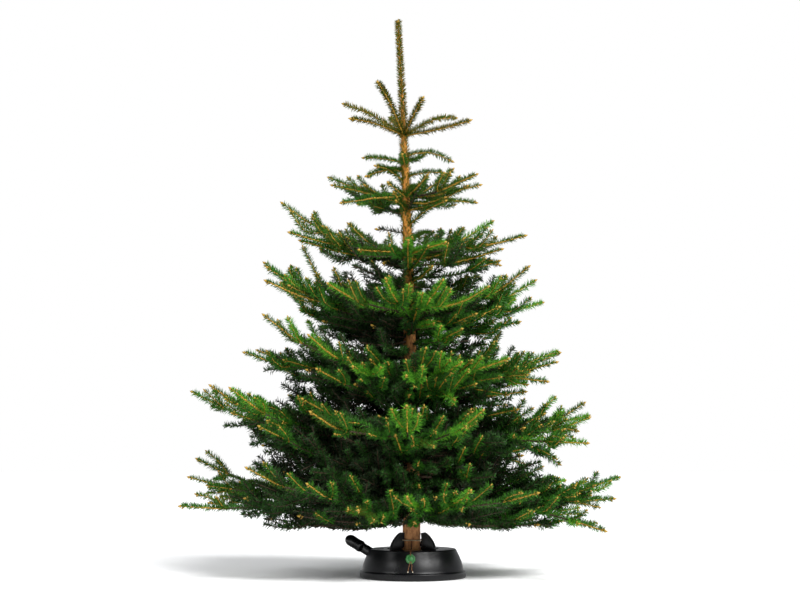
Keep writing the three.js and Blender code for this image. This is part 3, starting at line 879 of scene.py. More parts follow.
def rolled_up(sides, steps, place):
    """A grid rolled up into a tube: place gives a spot for each turn and way along, 0 to 1."""
    made = bmesh.new()
    bmesh.ops.create_grid(made, x_segments=sides, y_segments=steps, size=0.5)
    for corner in made.verts:
        corner.co = place(FULL_TURN * (corner.co.x + 0.5), min(max(corner.co.y + 0.5, 0.0), 1.0))
    bmesh.ops.remove_doubles(made, verts=made.verts, dist=MERGE)
    bmesh.ops.holes_fill(made, edges=[e for e in made.edges if e.is_boundary], sides=0)
    return made


def clad_tube(name, middle, radius, relief, sides, steps, material, near=0.002):
    """A limb's bark: a tube round a middle line, with its relief, closed at both ends.
    middle, radius and relief are functions of 0..1 along the limb, relief of the place as well."""
    def bark(turn, along):
        heading = unit(middle(min(along + near, 1)) - middle(max(along - near, 0)))
        side = unit(np.cross(heading, (0, 1, 0) if abs(heading[2]) > 0.7 else UP))
        out = turned(turn, side, np.cross(heading, side))
        place = middle(along) + radius(along) * out
        return place + relief(place, along) * out
    return finished(rolled_up(sides, steps, bark), name, material)


def into_mesh(made, name):
    """Turns a bmesh into a mesh whose faces point outwards, and frees it."""
    bmesh.ops.recalc_face_normals(made, faces=made.faces)
    mesh = bpy.data.meshes.new(name)
    made.to_mesh(mesh)
    made.free()
    return mesh


def finished(made, name, material, sharp=35):
    """A bmesh as a smooth-shaded object whose faces point outwards, with its sharp edges kept."""
    mesh = into_mesh(made, name)
    mesh.shade_smooth()
    mesh.set_sharp_from_angle(angle=math.radians(sharp))
    mesh.materials.append(material)
    return placed(name, mesh)


def bark_relief(depth):
    """Flaky scales, longer along the trunk than across it, on broader swellings."""
    def relief(place, along):
        x, y, z = place
        flakes = noise.cell(Vector((x * 110, y * 110, z * 42 + 0.6 * noise.noise(Vector(place) * 40))))
        rough = noise.fractal(Vector((x * 160, y * 160, z * 90)), 1.0, 2.0, 3)
        swelling = noise.noise(Vector((x * 12, y * 12, z * 7)))
        return depth(along) * (0.55 * flakes + 0.45 * rough + 0.9 * swelling - 0.3)
    return relief


# ---------------------------------------------------------------- stand shapes


def spun(made, profile, steps):
    """Spins a line of (radius, height) corners round the upright axis into a closed shell."""
    line = [made.verts.new((radius, 0, height)) for radius, height in profile]
    edges = [made.edges.new(pair) for pair in zip(line, line[1:])]
    bmesh.ops.spin(made, geom=line + edges, cent=(0, 0, 0), axis=(0, 0, 1), dvec=(0, 0, 0),
                   angle=FULL_TURN, steps=steps, use_merge=True)
    bmesh.ops.remove_doubles(made, verts=made.verts, dist=MERGE)


def arc(centre, radius, start, end, steps):
    """Corners on a stretch of circle, with angles in degrees."""
    angles = (math.radians(start + (end - start) * i / steps) for i in range(steps + 1))
    return [(centre[0] + radius * math.cos(a), centre[1] + radius * math.sin(a)) for a in angles]


def soften(made, width, segments=2, edges=None, least=25):
    """Rounds the edges that turn more than the least angle, or just the given ones."""
    if edges is None:
        edges = [e for e in made.edges if e.is_manifold and e.calc_face_angle(0) > math.radians(least)]
    bmesh.ops.bevel(made, geom=edges, offset=width, offset_type="OFFSET", affect="EDGES",
                    segments=segments, profile=0.5, material=-1, clamp_overlap=True)


def cuboid(size):
    """A bmesh of a box of this size round the origin."""
    made = bmesh.new()
    bmesh.ops.create_cube(made, size=1)
    bmesh.ops.scale(made, vec=size, verts=made.verts)
    return made


def block(made, size, centre, width=0.0008):
    """A box with rounded edges, added to a bmesh."""
    part = cuboid(size)
    soften(part, width)
    bmesh.ops.translate(part, vec=centre, verts=part.verts)
    add_to(made, part)


def put(made, place, turn):
    """Turns a bmesh round the origin and moves it to its place."""
    bmesh.ops.transform(made, matrix=Matrix.Translation(place) @ turn, verts=made.verts)


def rod(made, radius, length, centre, turn, segments=32, width=0.0006):
    """A round bar with rounded ends, turned from upright, added to a bmesh."""
    part = bmesh.new()
    bmesh.ops.create_cone(part, cap_ends=True, segments=segments, radius1=radius, radius2=radius,
                          depth=length)
    soften(part, width, edges=[e for e in part.edges if e.calc_face_angle(0) > math.radians(60)])
    put(part, centre, turn)
    add_to(made, part)


def add_to(made, part):
    """Adds one bmesh to another and frees it."""
    mesh = into_mesh(part, "part")
    made.from_mesh(mesh)
    bpy.data.meshes.remove(mesh)


def cut_out(piece, cutters):
    """Cuts one bmesh of cutters out of a piece, and applies the cut to its mesh."""
    tool = placed("cutter", into_mesh(cutters, "cutter"))
    cut = piece.modifiers.new("cut", "BOOLEAN")
    cut.operation = "DIFFERENCE"
    cut.solver = "EXACT"
    cut.object = tool
    bpy.context.view_layer.update()
    applied = piece.evaluated_get(bpy.context.evaluated_depsgraph_get())
    shaped = bpy.data.meshes.new_from_object(applied)
    piece.modifiers.clear()
    piece.data = shaped
    bpy.data.objects.remove(tool)


# ---------------------------------------------------------------- materials


def pattern(millimetres):
    """The scale of a pattern whose detail is this many millimetres across."""
    return 1000 / millimetres


def dull_material(name, colour, patch, low, high, specular=0.5):
    """One colour, whose roughness wanders from low to high in patches of this many millimetres."""
    made, tree, shader, place = new_material(name)
    patches = add_node(tree, "ShaderNodeTexNoise", Vector=place, Scale=pattern(patch), Detail=2.0)
    gloss = add_node(tree, "ShaderNodeMapRange", Value=patches.outputs["Fac"], To_Min=low, To_Max=high)
    plug(tree, shader, Roughness=gloss.outputs["Result"], Base_Color=colour,
         Specular_IOR_Level=specular)
    return made


def coloured(ramp, first, dark, last, light):
    """Sets where a colour ramp is still dark, and from where it is light."""
    for stop, position, colour in zip(ramp.color_ramp.elements, (first, last), (dark, light)):
        stop.position = position
        stop.color = linear(colour)


def bough_material():
    """Spruce bark on old boughs: thin flaky scales of 4 mm over a dark brown, dull and uneven."""
    made, tree, shader, place = new_material("spruce_bough_bark")
    stretch = add_node(tree, "ShaderNodeMapping", Vector=place, Scale=(1.0, 1.0, 0.35))
    flakes = add_node(tree, "ShaderNodeTexNoise", Vector=stretch.outputs["Vector"],
                      Scale=pattern(3.85), Detail=6.0, Roughness=0.65)
    ramp = add_node(tree, "ShaderNodeValToRGB", Fac=flakes.outputs["Fac"])
    coloured(ramp, 0.35, "#2c2018", 0.68, "#6e523a")
    bump = add_node(tree, "ShaderNodeBump", Height=flakes.outputs["Fac"], Strength=0.6, Distance=0.002)
    plug(tree, shader, Base_Color=ramp.outputs["Color"], Normal=bump.outputs["Normal"], Roughness=0.88)
    return made


def stem_material():
    """Spruce bark on the stem: flaky grey-brown scales below, smooth golden brown on young wood."""
    made, tree, shader, place = new_material("spruce_stem_bark")
    stretch = add_node(tree, "ShaderNodeMapping", Vector=place, Scale=(1.0, 1.0, 0.4))
    # Scales of about 9 mm, and a grain of about 2.4 mm on them.
    scales = add_node(tree, "ShaderNodeTexVoronoi", Vector=stretch.outputs["Vector"],
                      Scale=pattern(9.1))
    grain = add_node(tree, "ShaderNodeTexNoise", Vector=stretch.outputs["Vector"],
                     Scale=pattern(2.38), Detail=5.0, Roughness=0.6)
    mixed = add_node(tree, "ShaderNodeMath", {"operation": "MULTIPLY_ADD"})
    tree.links.new(scales.outputs["Distance"], mixed.inputs[0])
    mixed.inputs[1].default_value = 0.6
    tree.links.new(grain.outputs["Fac"], mixed.inputs[2])
    old = add_node(tree, "ShaderNodeValToRGB", Fac=mixed.outputs["Value"])
    young = add_node(tree, "ShaderNodeValToRGB", Fac=mixed.outputs["Value"])
    coloured(old, 0.45, "#643c22", 0.95, "#b98252")
    coloured(young, 0.45, "#4a2f0c", 0.95, "#ae7424")
    # The wood grows younger between these two heights.
    split = add_node(tree, "ShaderNodeSeparateXYZ", Vector=place)
    height = add_node(tree, "ShaderNodeMapRange", Value=split.outputs["Z"], From_Min=0.55, From_Max=1.1)
    colour = add_node(tree, "ShaderNodeMix", {"data_type": "RGBA"})
    for value, socket in ((height.outputs["Result"], "Factor"), (old.outputs["Color"], 6),
                          (young.outputs["Color"], 7)):
        tree.links.new(value, colour.inputs[socket])
    bump = add_node(tree, "ShaderNodeBump", Height=mixed.outputs["Value"], Strength=0.5, Distance=0.0015)
    plug(tree, shader, Base_Color=colour.outputs[2], Normal=bump.outputs["Normal"], Roughness=0.86)
    return made


def textured_material(name, colour, roughness, grain, depth, specular=0.5, metallic=0.0):
    """A moulded, cast, coated or spun surface: a fine texture whose grain is in millimetres and
    whose depth is in metres, and wear in patches of 70 mm that breaks up its sheen."""
    made, tree, shader, place = new_material(name)
    texture = add_node(tree, "ShaderNodeTexNoise", Vector=place, Scale=pattern(grain), Detail=2.0)
    wear = add_node(tree, "ShaderNodeTexNoise", Vector=place, Scale=pattern(71.4), Detail=5.0)
    gloss = add_node(tree, "ShaderNodeMapRange", Value=wear.outputs["Fac"], From_Min=0.3, From_Max=0.7,
                     To_Min=roughness - 0.05, To_Max=roughness + 0.06)
    bump = add_node(tree, "ShaderNodeBump", Height=texture.outputs["Fac"], Strength=0.25, Distance=depth)
    plug(tree, shader, Roughness=gloss.outputs["Result"], Normal=bump.outputs["Normal"],
         Base_Color=linear(colour), Specular_IOR_Level=specular, Metallic=metallic)
    return made


# ---------------------------------------------------------------- operators


class SPRUCE_OT_trunk(Operator):
    """The whole stem with its bark's relief, from its flat cut to its tip."""

    bl_idname = "spruce.trunk"
    bl_label = "Trunk"

    def execute(self, context):
        foot, top = trunk_rings()[0, 0], trunk_rings()[-1, 0]
        piece = clad_tube(
            "stem_bark",
            lambda t: trunk_at(foot + t * (top - foot)),
            lambda t: float(trunk_radius(foot + t * (top - foot))),
            # The relief is coarse at the foot, and all but smooth on the leader.
            bark_relief(lambda t: 0.0014 * (1 - t) ** 1.2 + 0.00015),
            sides=36, steps=420, material=stem_material())
        seat(piece, TREE, ["trunk"])
        return {"FINISHED"}


class SPRUCE_OT_boughs(Operator):
    """The bare boughs of the lowest whorls, with a collar where each leaves the stem."""

    bl_idname = "spruce.boughs"
    bl_label = "Boughs"

    def execute(self, context):
        material = bough_material()
        for name in sorted(n for n in NODES if n.endswith("_bough")):
            points = corners(name)
            out = from_trunk(points)
            outermost = points[out > out.max() - OUTERMOST]
            innermost = points[out < out.min() + INNERMOST]
            wide = 0.5 * np.ptp(innermost[:, 2])
            narrow = 0.5 * np.ptp(outermost[:, 2])
            inner, end = innermost.mean(0), outermost.mean(0)
            arched = 0.5 * (inner + end) + 0.004 * UP
            line = curve_through([trunk_at(inner[2]), inner, arched, end])
            piece = clad_tube(
                name.replace("_bough", "_bark"),
                lambda t, line=line: line.point(t * line.length),
                lambda t, wide=wide, narrow=narrow: (
                    narrow + (wide - narrow) * (1 - t) + 0.004 * max(0, 0.5 - t) ** 2),
                bark_relief(lambda t: 0.0007), sides=18, steps=40, material=material)
            seat(piece, TREE, [name])
        return {"FINISHED"}


# Lengths of buds, for the full one's, and how far back and out the side buds of a tip stand.
LIMB_BUD = 1.15
SHOOT_BUD = 0.8
SIDE_BUDS = (0.55, 0.8)
TOP_BUD = 1.3
BUD_BACK = 0.3
BUD_OUT = 0.1


class SPRUCE_OT_buds(Operator):
    """The golden-brown buds that end the shoots, bar shaded side and heart shoots, with two or three
    more round the main ones.
    """

    bl_idname = "spruce.buds"
    bl_label = "Buds"

    def execute(self, context):
        size = context.scene.spruce_needles.bud
        rng = np.random.default_rng(context.scene.spruce_growth.seed + 2)
        points, directions, lengths = [], [], []
        for axis in grown_crown():
            if axis.tone < 2 and (axis.order > 0 or axis.tier == "heart"):
                continue
            end = axis.line.length
            tip, heading = axis.line.point(end), axis.line.heading(end)
            side, over = square_to(heading)
            more = 3 if axis.order == 0 else rng.integers(2, 4)
            points.append(tip)
            directions.append(heading)
            lengths.append(size * (LIMB_BUD if axis.order == 0 else SHOOT_BUD))
            for k in range(more):
                out = turned(FULL_TURN * (k + rng.random()) / more, side, over)
                points.append(tip - BUD_BACK * size * heading + BUD_OUT * size * out)
                directions.append(unit(0.6 * heading + 0.8 * out))
                lengths.append(size * rng.uniform(*SIDE_BUDS))
        height, *middle = trunk_rings()[-1][:3]
        tip = np.array((*middle, height))
        for k in range(LEADER_BUDS):
            # The first stands on the tip, and the others lean out round it.
            out = facing(FULL_TURN * k / LEADER_BUDS) * (k > 0)
            points.append(tip + BUD_OUT * size * out)
            directions.append(unit(UP + 0.7 * out))
            lengths.append(TOP_BUD * size if k == 0 else size)
        solids = bud_block(np.array(points), np.array(directions), lengths)
        # Bud scales: papery and dull, so they catch light as a soft golden dot.
        scales = dull_material("spruce_bud", linear("#967620"), 11.1, 0.55, 0.8)
        seat(add_mesh("buds", *joined(solids, BUD_FACES), scales, True), TREE)
        return {"FINISHED"}


# The stand, in metres: heights from its foot, radii from its middle.
WALL = 0.004
WELL = 0.0905               # the mouth round the stem
STEP = 0.024                # height of the flange round the foot
STEP_WIDTH = 0.0065
RIM_INSET = 0.032
BOSS_TOP = 0.0143
SLOT_HALF = 0.016
SLOT_FROM = 0.1             # the lever's slot, from here outwards
SLOT_SILL = 0.052
SLOT_TALL = 0.08            # it reaches past the top,
SLOT_BEYOND = 0.02          # and past the foot
SLOT_CORNER = 0.006
CHEEK = 0.0163              # from the lever's middle to the middle of each cheek
CHEEK_LENGTH = 0.028
CHEEK_WALL = 0.006
CHEEK_OVER_PIN = 0.009
PIN = 0.006
PIN_PROUD = 0.0032
RIB = (0.09, 0.003, 0.006)  # length, width and height
RIBS = 12
RIB_MIDDLE = 0.1
RIB_TURN = 0.26


def stand_profile(foot, top):
    """The stand's section as (radius, height) corners, round from the middle of its underside."""
    rim, ledge = foot - RIM_INSET, foot - STEP_WIDTH
    profile = [(0, 0), (foot - 0.008, 0)]
    # The foot's rounded edge, its flange, and the seam above that.
    profile += arc((foot - 0.006, 0.006), 0.006, -90, 0, 6)[1:]
    profile += arc((foot - 0.0045, STEP - 0.004), 0.004, 0, 85, 6)
    profile += [(ledge, STEP + 0.0012), (ledge - 0.0008, STEP + 0.003)]
    # The side swells slightly between the flange and the rolled rim.
    slope = ledge - 0.001 - rim
    for i in range(1, 10):
        t = i / 10
        side = rim + slope * (1 - 0.5 * t - 0.5 * t * t)
        profile.append((side, STEP + 0.003 + (top - 0.009 - STEP) * t))
    profile += arc((rim - 0.006, top - 0.006), 0.006, 12, 90, 6)
    # The top dishes slightly towards the well's lip.
    under = top - WALL - 0.002
    profile += [(0.5 * (rim + WELL), top - 0.0012)]
    profile += arc((WELL + 0.003, top - 0.003), 0.003, 90, 180, 5)
    profile += [(WELL, top - 0.014), (WELL + WALL, top - 0.014), (WELL + WALL, under)]
    # Inside: down the side to the water's floor, and up the boss that the stem stands on.
    profile += [(rim - 2 * WALL, under), (foot - 0.017, 0.054), (foot - 0.012, WALL)]
    return profile + [(0.054, WALL), (0.052, 0.014), (0.046, BOSS_TOP), (0, BOSS_TOP)]


def lever_pivot():
    """The hinge's place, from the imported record."""
    return Vector(next(joint["pos_m"] for joint in frame["joints"] if joint["child"] == LEVER))


class SPRUCE_OT_stand_base(Operator):
    """The stand's round body: a hollow moulding with a well for the stem and a slot for the lever."""

    bl_idname = "spruce.stand_base"
    bl_label = "Stand base"

    def execute(self, context):
        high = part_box("stand_base")[1]
        made = bmesh.new()
        spun(made, stand_profile(high.y, high.z), 120)
        # Injection-moulded polypropylene: black, with a fine grain that keeps its sheen broad.
        plastic = textured_material("moulded_polypropylene", "#060608", 0.3, 0.9, 0.0001, specular=0.3)
        sharp = 40
        piece = finished(made, "stand_body", plastic, sharp)
        self.cut_slot(piece, high.y)
        fittings = bmesh.new()
        fittings.from_mesh(piece.data)
        self.add_hinge(fittings)
        self.add_ribs(fittings)
        fittings.to_mesh(piece.data)
        fittings.free()
        piece.data.shade_smooth()
        piece.data.set_sharp_from_angle(angle=math.radians(sharp))
        seat(piece, TREE, ["stand_base"])
        return {"FINISHED"}

    @staticmethod
    def cut_slot(piece, foot):
        """The lever's slot, which is open at the top."""
        slot = cuboid((foot - SLOT_FROM + SLOT_BEYOND, 2 * SLOT_HALF, SLOT_TALL))
        upright = [e for e in slot.edges if (e.verts[0].co - e.verts[1].co).xy.length < MERGE]
        soften(slot, SLOT_CORNER, 4, upright)
        middle = (-0.5 * (foot + SLOT_FROM + SLOT_BEYOND), 0, SLOT_SILL + 0.5 * SLOT_TALL)
        bmesh.ops.translate(slot, vec=middle, verts=slot.verts)
        cut_out(piece, slot)

    @staticmethod
    def add_hinge(made):
        """The two cheeks that hold the lever, and its pin."""
        pivot = lever_pivot()
        tall = pivot.z + CHEEK_OVER_PIN
        for sign in (-1, 1):
            # Each cheek starts 2 mm up, in the floor.
            size = (CHEEK_LENGTH, CHEEK_WALL, tall - 0.002)
            block(made, size, (pivot.x, sign * CHEEK, 0.5 * (tall + 0.002)))
        rod(made, PIN, 2 * (CHEEK + PIN_PROUD), pivot, Matrix.Rotation(math.pi / 2, 4, "X"))

    @staticmethod
    def add_ribs(made):
        """Radial ribs, which stiffen the floor between the boss and the side."""
        for k in range(RIBS):
            rib = cuboid(RIB)
            # It stands a hair deep in the floor.
            bmesh.ops.translate(rib, vec=(RIB_MIDDLE, 0, WALL + 0.0029), verts=rib.verts)
            turn = Matrix.Rotation(k * FULL_TURN / RIBS + RIB_TURN, 3, "Z")
            bmesh.ops.rotate(rib, cent=(0, 0, 0), matrix=turn, verts=rib.verts)
            add_to(made, rib)


# The foot lever, measured along itself from its pin.
LEVER_RISE = math.radians(31)
NECK, PAD = 0.0125, 0.0218  # radii
NECK_FROM = 0.011           # inside the hub
DEEP_FROM = 0.03            # from here on the neck has its full depth
PAD_LENGTH = 0.074
SWELL = 0.02                # the length of the flank between the neck and the pad
NECK_DEEPER = 1.36          # the neck is deeper than it is wide,
PAD_FLATTER = 0.9           # and the pad a little flatter
GROOVES = 3
GROOVE_DEPTH = 0.0009
HUB, BORE, HUB_HALF = 0.0135, 0.0067, 0.0128


class SPRUCE_OT_foot_lever(Operator):
    """The foot lever: a neck with a hub on the hinge pin and a rounded pad with grip grooves."""

    bl_idname = "spruce.foot_lever"
    bl_label = "Foot lever"

    def execute(self, context):
        pivot = lever_pivot()
        length = (pivot.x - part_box("foot_lever")[0].x - NECK) / math.cos(LEVER_RISE)
        start = length - PAD_LENGTH
        made = bmesh.new()
        spun(made, self.profile(length, start), 48)
        for corner in made.verts:
            corner.co.x *= np.interp(corner.co.z, (NECK_FROM, DEEP_FROM, start, start + SWELL),
                                     (1, NECK_DEEPER, NECK_DEEPER, PAD_FLATTER))
        put(made, pivot, Matrix.Rotation(math.pi / 2 - LEVER_RISE, 4, "Y").inverted())
        hub = bmesh.new()
        spun(hub, [(BORE, -HUB_HALF), (HUB, -HUB_HALF), (HUB, HUB_HALF), (BORE, HUB_HALF),
                   (BORE, -HUB_HALF)], 40)
        soften(hub, 0.0008, 2)
        put(hub, pivot, Matrix.Rotation(math.pi / 2, 4, "X"))
        add_to(made, hub)
        # Polished ABS: smoother than the stand, so its highlights are small and sharp.
        plastic = textured_material("glossy_abs", "#070708", 0.16, 4, 0.00008, specular=0.4)
        seat(finished(made, "lever_pedal", plastic, 35), LEVER, ["foot_lever"])
        return {"FINISHED"}

    @staticmethod
    def profile(length, start):
        """The lever's section as (radius, distance from the pin) corners."""
        corners_made = [(0, NECK_FROM), (NECK, NECK_FROM), (NECK, DEEP_FROM), (NECK, start - 0.004)]
        # The neck swells into the pad on one smooth flank.
        for i in range(1, 9):
            t = i / 8
            swell = 0.5 - 0.5 * math.cos(math.pi * t)
            corners_made.append((NECK + (PAD - NECK) * swell, start + SWELL * t))
        for k in range(GROOVES):
            groove = start + 0.026 + 0.0055 * k
            corners_made += [(PAD, groove), (PAD - GROOVE_DEPTH, groove + 0.0008),
                             (PAD - GROOVE_DEPTH, groove + 0.0022), (PAD, groove + 0.003)]
        corners_made += arc((0, length - PAD), PAD, 0, 90, 12)
        return [(abs(r), z) for r, z in corners_made]


CLAW_HEEL = 0.0888          # how far from the stem's middle a claw's back reaches
CLAW_NOSE = 0.047
CLAW_WEB = 0.0076
CLAW_FLANGE = 0.0146


def claw_outline():
    """A claw's side outline as (distance from the middle, height), from its bite round its back."""
    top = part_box("claw_1")[1].z
    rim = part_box("stand_base")[1].z
    points = [(0.0295, rim + 0.012), (0.052, rim - 0.004), (0.068, rim - 0.022), (CLAW_HEEL, rim - 0.02)]
    # The back is one horn-shaped sweep from the stand's rim to the blunt nose.
    for i in range(13):
        turn = 0.5 * math.pi * i / 12
        points.append((CLAW_NOSE + (CLAW_HEEL - CLAW_NOSE) * math.cos(turn) ** 1.5,
                       rim + 0.004 + (top - rim - 0.005) * math.sin(turn) ** 1.35))
    points += [(0.038, top - 0.003), (0.034, top - 0.009), (0.0355, top - 0.018), (0.0345, rim + 0.03)]
    return points


def flange_outline():
    """The flange's own outline: the claw's back and a line just inside it."""
    back = claw_outline()[3:18]
    inner = []
    for i, (r, z) in enumerate(back):
        inner.append((r - 0.0035 * (0.25 + i / len(back)), z - 0.0045 * (i / len(back))))
    return back + inner[::-1]


class SPRUCE_OT_claws(Operator):
    """Three claws that pivot inwards and bite the stem, each a web with a flange round its back."""

    bl_idname = "spruce.claws"
    bl_label = "Claws"

    def execute(self, context):
        # Powder-coated steel: a baked coat whose fine orange peel softens its highlights.
        steel = textured_material("powder_coated_steel", "#0e0f11", 0.3, 0.6, 0.0001, specular=0.35)
        for index, azimuth in enumerate((90, 210, 330), 1):
            made = bmesh.new()
            for points, thickness in ((claw_outline(), CLAW_WEB), (flange_outline(), CLAW_FLANGE)):
                add_to(made, self.plate(points, thickness))
            put(made, (0, 0, 0), Matrix.Rotation(math.radians(azimuth), 4, "Z"))
            seat(finished(made, f"claw_{index}_steel", steel, 30), TREE, [f"claw_{index}"])
        return {"FINISHED"}

    @staticmethod
    def plate(points, thickness):
        """A plate of this outline with rounded edges."""
        made = bmesh.new()
        face = made.faces.new([made.verts.new((r, -0.5 * thickness, z)) for r, z in points])
        grown = bmesh.ops.extrude_face_region(made, geom=[face])["geom"]
        moved = [v for v in grown if isinstance(v, bmesh.types.BMVert)]
        bmesh.ops.translate(made, vec=(0, thickness, 0), verts=moved)
        bmesh.ops.recalc_face_normals(made, faces=made.faces)
        soften(made, 0.0009, 2, least=50)
        return made


CABLE_STRANDS = 5
CABLE_TURNS = 30            # that each strand makes round the others
STRAND_AT = 0.62            # of the cable's radius
STRAND_RADIUS = 0.36


class SPRUCE_OT_claw_cable(Operator):
    """The steel cable that runs round the claws and draws them together: strands in a clear coat."""

    bl_idname = "spruce.claw_cable"
    bl_label = "Claw cable"

    def execute(self, context):
        low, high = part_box("claw_cable")
        centre = (low + high) / 2
        thick = 0.5 * (high.z - low.z)
        ring = 0.5 * (high.x - low.x) - thick
        own = STRAND_RADIUS * thick
        made = bmesh.new()
        for strand in range(CABLE_STRANDS):
            phase = FULL_TURN * strand / CABLE_STRANDS

            def wire(around, along, phase=phase):
                """A round wire that winds round the cable's own middle."""
                turn = FULL_TURN * along
                lay = phase + CABLE_TURNS * turn
                out = ring + STRAND_AT * thick * math.cos(lay) + own * math.cos(around)
                rise = STRAND_AT * thick * math.sin(lay) + own * math.sin(around)
                return centre + Vector((out * math.cos(turn), out * math.sin(turn), rise))

            add_to(made, rolled_up(sides=6, steps=240, place=wire))
        # Zinc-coated wire under clear plastic: pale, and only half as bright as bare metal.
        wires = textured_material("coated_steel_wire", "#cbbd9f", 0.32, 1, 0.00005, metallic=0.35)
        seat(finished(made, "cable_strands", wires, 60), TREE, ["claw_cable"])
        return {"FINISHED"}


SEAL_LOBES = 7
LOBE_DEPTH = 0.06           # of the seal's radius
SEAL_LEAN = math.atan2(0.013 - 0.004, 0.028)    # as the stand's side does
TIED_AT = 0.129             # the height of the string's knot on the cable
STRING_GAP = 0.0011         # from the string's middle to each of its two runs
TAIL_OUT = -0.0024          # the tails hang this far in front of the seal's middle


class SPRUCE_OT_seal(Operator):
    """A bare seal of green wax on a doubled string, which hangs over the stand's front."""

    bl_idname = "spruce.seal"
    bl_label = "Seal"

    def execute(self, context):
        points = corners("seal_tag")
        low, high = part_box("seal_tag")
        stand_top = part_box("stand_base")[1].z
        disc = points[(points[:, 2] < stand_top - 0.003) & (abs(points[:, 0] - low.x) < 0.04)]
        widest = disc[abs(disc[:, 0] - low.x) < 0.003]
        centre = Vector((0.5 * (low.x + high.x), widest[:, 1].mean(), widest[:, 2].mean()))
        down = Vector((0, -math.sin(SEAL_LEAN), -math.cos(SEAL_LEAN)))
        self.disc(0.5 * (high.x - low.x), centre)
        self.string(centre, down)
        self.string_ends(centre, down)
        return {"FINISHED"}

    @staticmethod
    def disc(radius, centre):
        """The seal itself, with a raised rim round its bare face."""
        made = bmesh.new()
        spun(made, [(0, -0.002), (radius * 0.93, -0.002), (radius, -0.0006), (radius * 0.99, 0.0012),
                    (radius * 0.9, 0.0022), (radius * 0.74, 0.0019), (radius * 0.7, 0.0008),
                    (radius * 0.62, 0.0006), (radius * 0.58, 0.0014), (0, 0.0019)], 64)
        for corner in made.verts:
            # Wax runs out unevenly round the stamp, in soft lobes.
            angle = math.atan2(corner.co.y, corner.co.x)
            out = corner.co.xy.length / radius
            lobe = 0.5 + 0.5 * math.cos(SEAL_LOBES * angle + 0.8 * math.sin(2 * angle))
            corner.co.xy *= 1 - LOBE_DEPTH * out * out * lobe
        put(made, centre, Matrix.Rotation(math.pi / 2 - SEAL_LEAN, 4, "X"))
        # Sealing wax: poured and pressed, with a satin face that is uneven like cooled wax.
        wax = textured_material("sealing_wax", "#1f6427", 0.42, 3, 0.0003)
        seat(finished(made, "seal_wax", wax, 50), TREE, ["seal_tag"])

    def string(self, centre, down):
        """The doubled string from the cable over the rim to the seal, and its two tails below."""
        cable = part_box("claw_cable")[0]
        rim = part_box("stand_base")[1].z
        stem = trunk_at(TIED_AT)[0]
        made = bmesh.new()
        for sign in (-1, 1):
            side = STRING_GAP * sign
            path = [
                Vector((stem + side, cable.y + 0.0012, cable.z + 0.001)),
                Vector((stem + side, cable.y - 0.006, cable.z - 0.012)),
                Vector((centre.x + 0.004 + side, -0.08, rim + 0.006)),
                Vector((centre.x + side, -0.112, rim + 0.0022)),
                Vector((centre.x + side, -0.147, rim + 0.0018)),
                Vector((centre.x + side, -0.1562, rim - 0.0025)),
                centre + Vector((side, -0.0006, 0.012)),
            ]
            add_to(made, self.strand(path, 0.001))
            tail = [
                centre + 0.008 * down + Vector((sign * 0.001, -0.0028, 0)),
                centre + 0.022 * down + Vector((sign * 0.0045, TAIL_OUT, 0)),
                centre + 0.034 * down + Vector((sign * 0.0055 - 0.002, TAIL_OUT, 0)),
                centre + 0.043 * down + Vector((sign * 0.008 - 0.001, TAIL_OUT, 0)),
            ]
            add_to(made, self.strand(tail, 0.0011))
        # Brown twine: spun fibre, with no shine at all.
        twine = textured_material("brown_twine", "#6a4526", 0.85, 1.2, 0.0004)
        seat(finished(made, "seal_string", twine, 60), TREE)

    @staticmethod
    def string_ends(centre, down):
        """The pale frayed end of each tail."""
        made = bmesh.new()
        for sign in (-1, 1):
            place = centre + 0.0445 * down + Vector((sign * 0.0082 - 0.001, TAIL_OUT, 0))
            rod(made, 0.0013, 0.0035, place, Matrix.Rotation(-SEAL_LEAN, 4, "X"), 12, 0.0003)
        # Frayed fibre, bleached where it was cut.
        pale = textured_material("pale_twine_end", "#d8cdb4", 0.7, 1, 0.0001)
        seat(finished(made, "string_ends", pale, 60), TREE)

    @staticmethod
    def strand(path, radius):
        """One twisted strand: a tube with two ridges that wind round it."""
        line = curve_through([tuple(p) for p in path], 8)

        def twist(around, share):
            along = share * line.length
            heading = line.heading(along)
            side = unit(np.cross(heading, (1, 0, 0)))
            ridge = radius * (1 + 0.16 * math.cos(2 * around + along / 0.0016))
            return line.point(along) + ridge * turned(around, side, np.cross(heading, side))

        return rolled_up(sides=8, steps=60, place=twist)


class SPRUCE_OT_needles(Operator):
    """Every needle of the crown, joined by tier and tone."""

    bl_idname = "spruce.needles"
    bl_label = "Needles"

    def execute(self, context):
        sizes = context.scene.spruce_needles
        colours = context.scene.spruce_colours
        rng = np.random.default_rng(context.scene.spruce_growth.seed + 1)
        # Spruce needle: a waxy leaf with a dull sheen, which takes a soft highlight along its length.
        leaves = {tone: dull_material(f"spruce_needle_{tone}", (*getattr(colours, tone), 1), 16.7,
                                      0.42, 0.62, 0.22) for tone in TONES}
        blocks = {}
        for axis in grown_crown():
            axis_needles(axis, sizes, rng, blocks)
        stem_needles(sizes, rng, blocks)
        for (tier, tone), found in sorted(blocks.items()):
            needles = joined(np.concatenate(found), NEEDLE_FACES)
            seat(add_mesh(f"{tier}_{tone}_needles", *needles, leaves[tone]), TREE)
        return {"FINISHED"}


TWIG_END = 0.0019           # a twig's radius at its end
LIMB_END = 0.0023


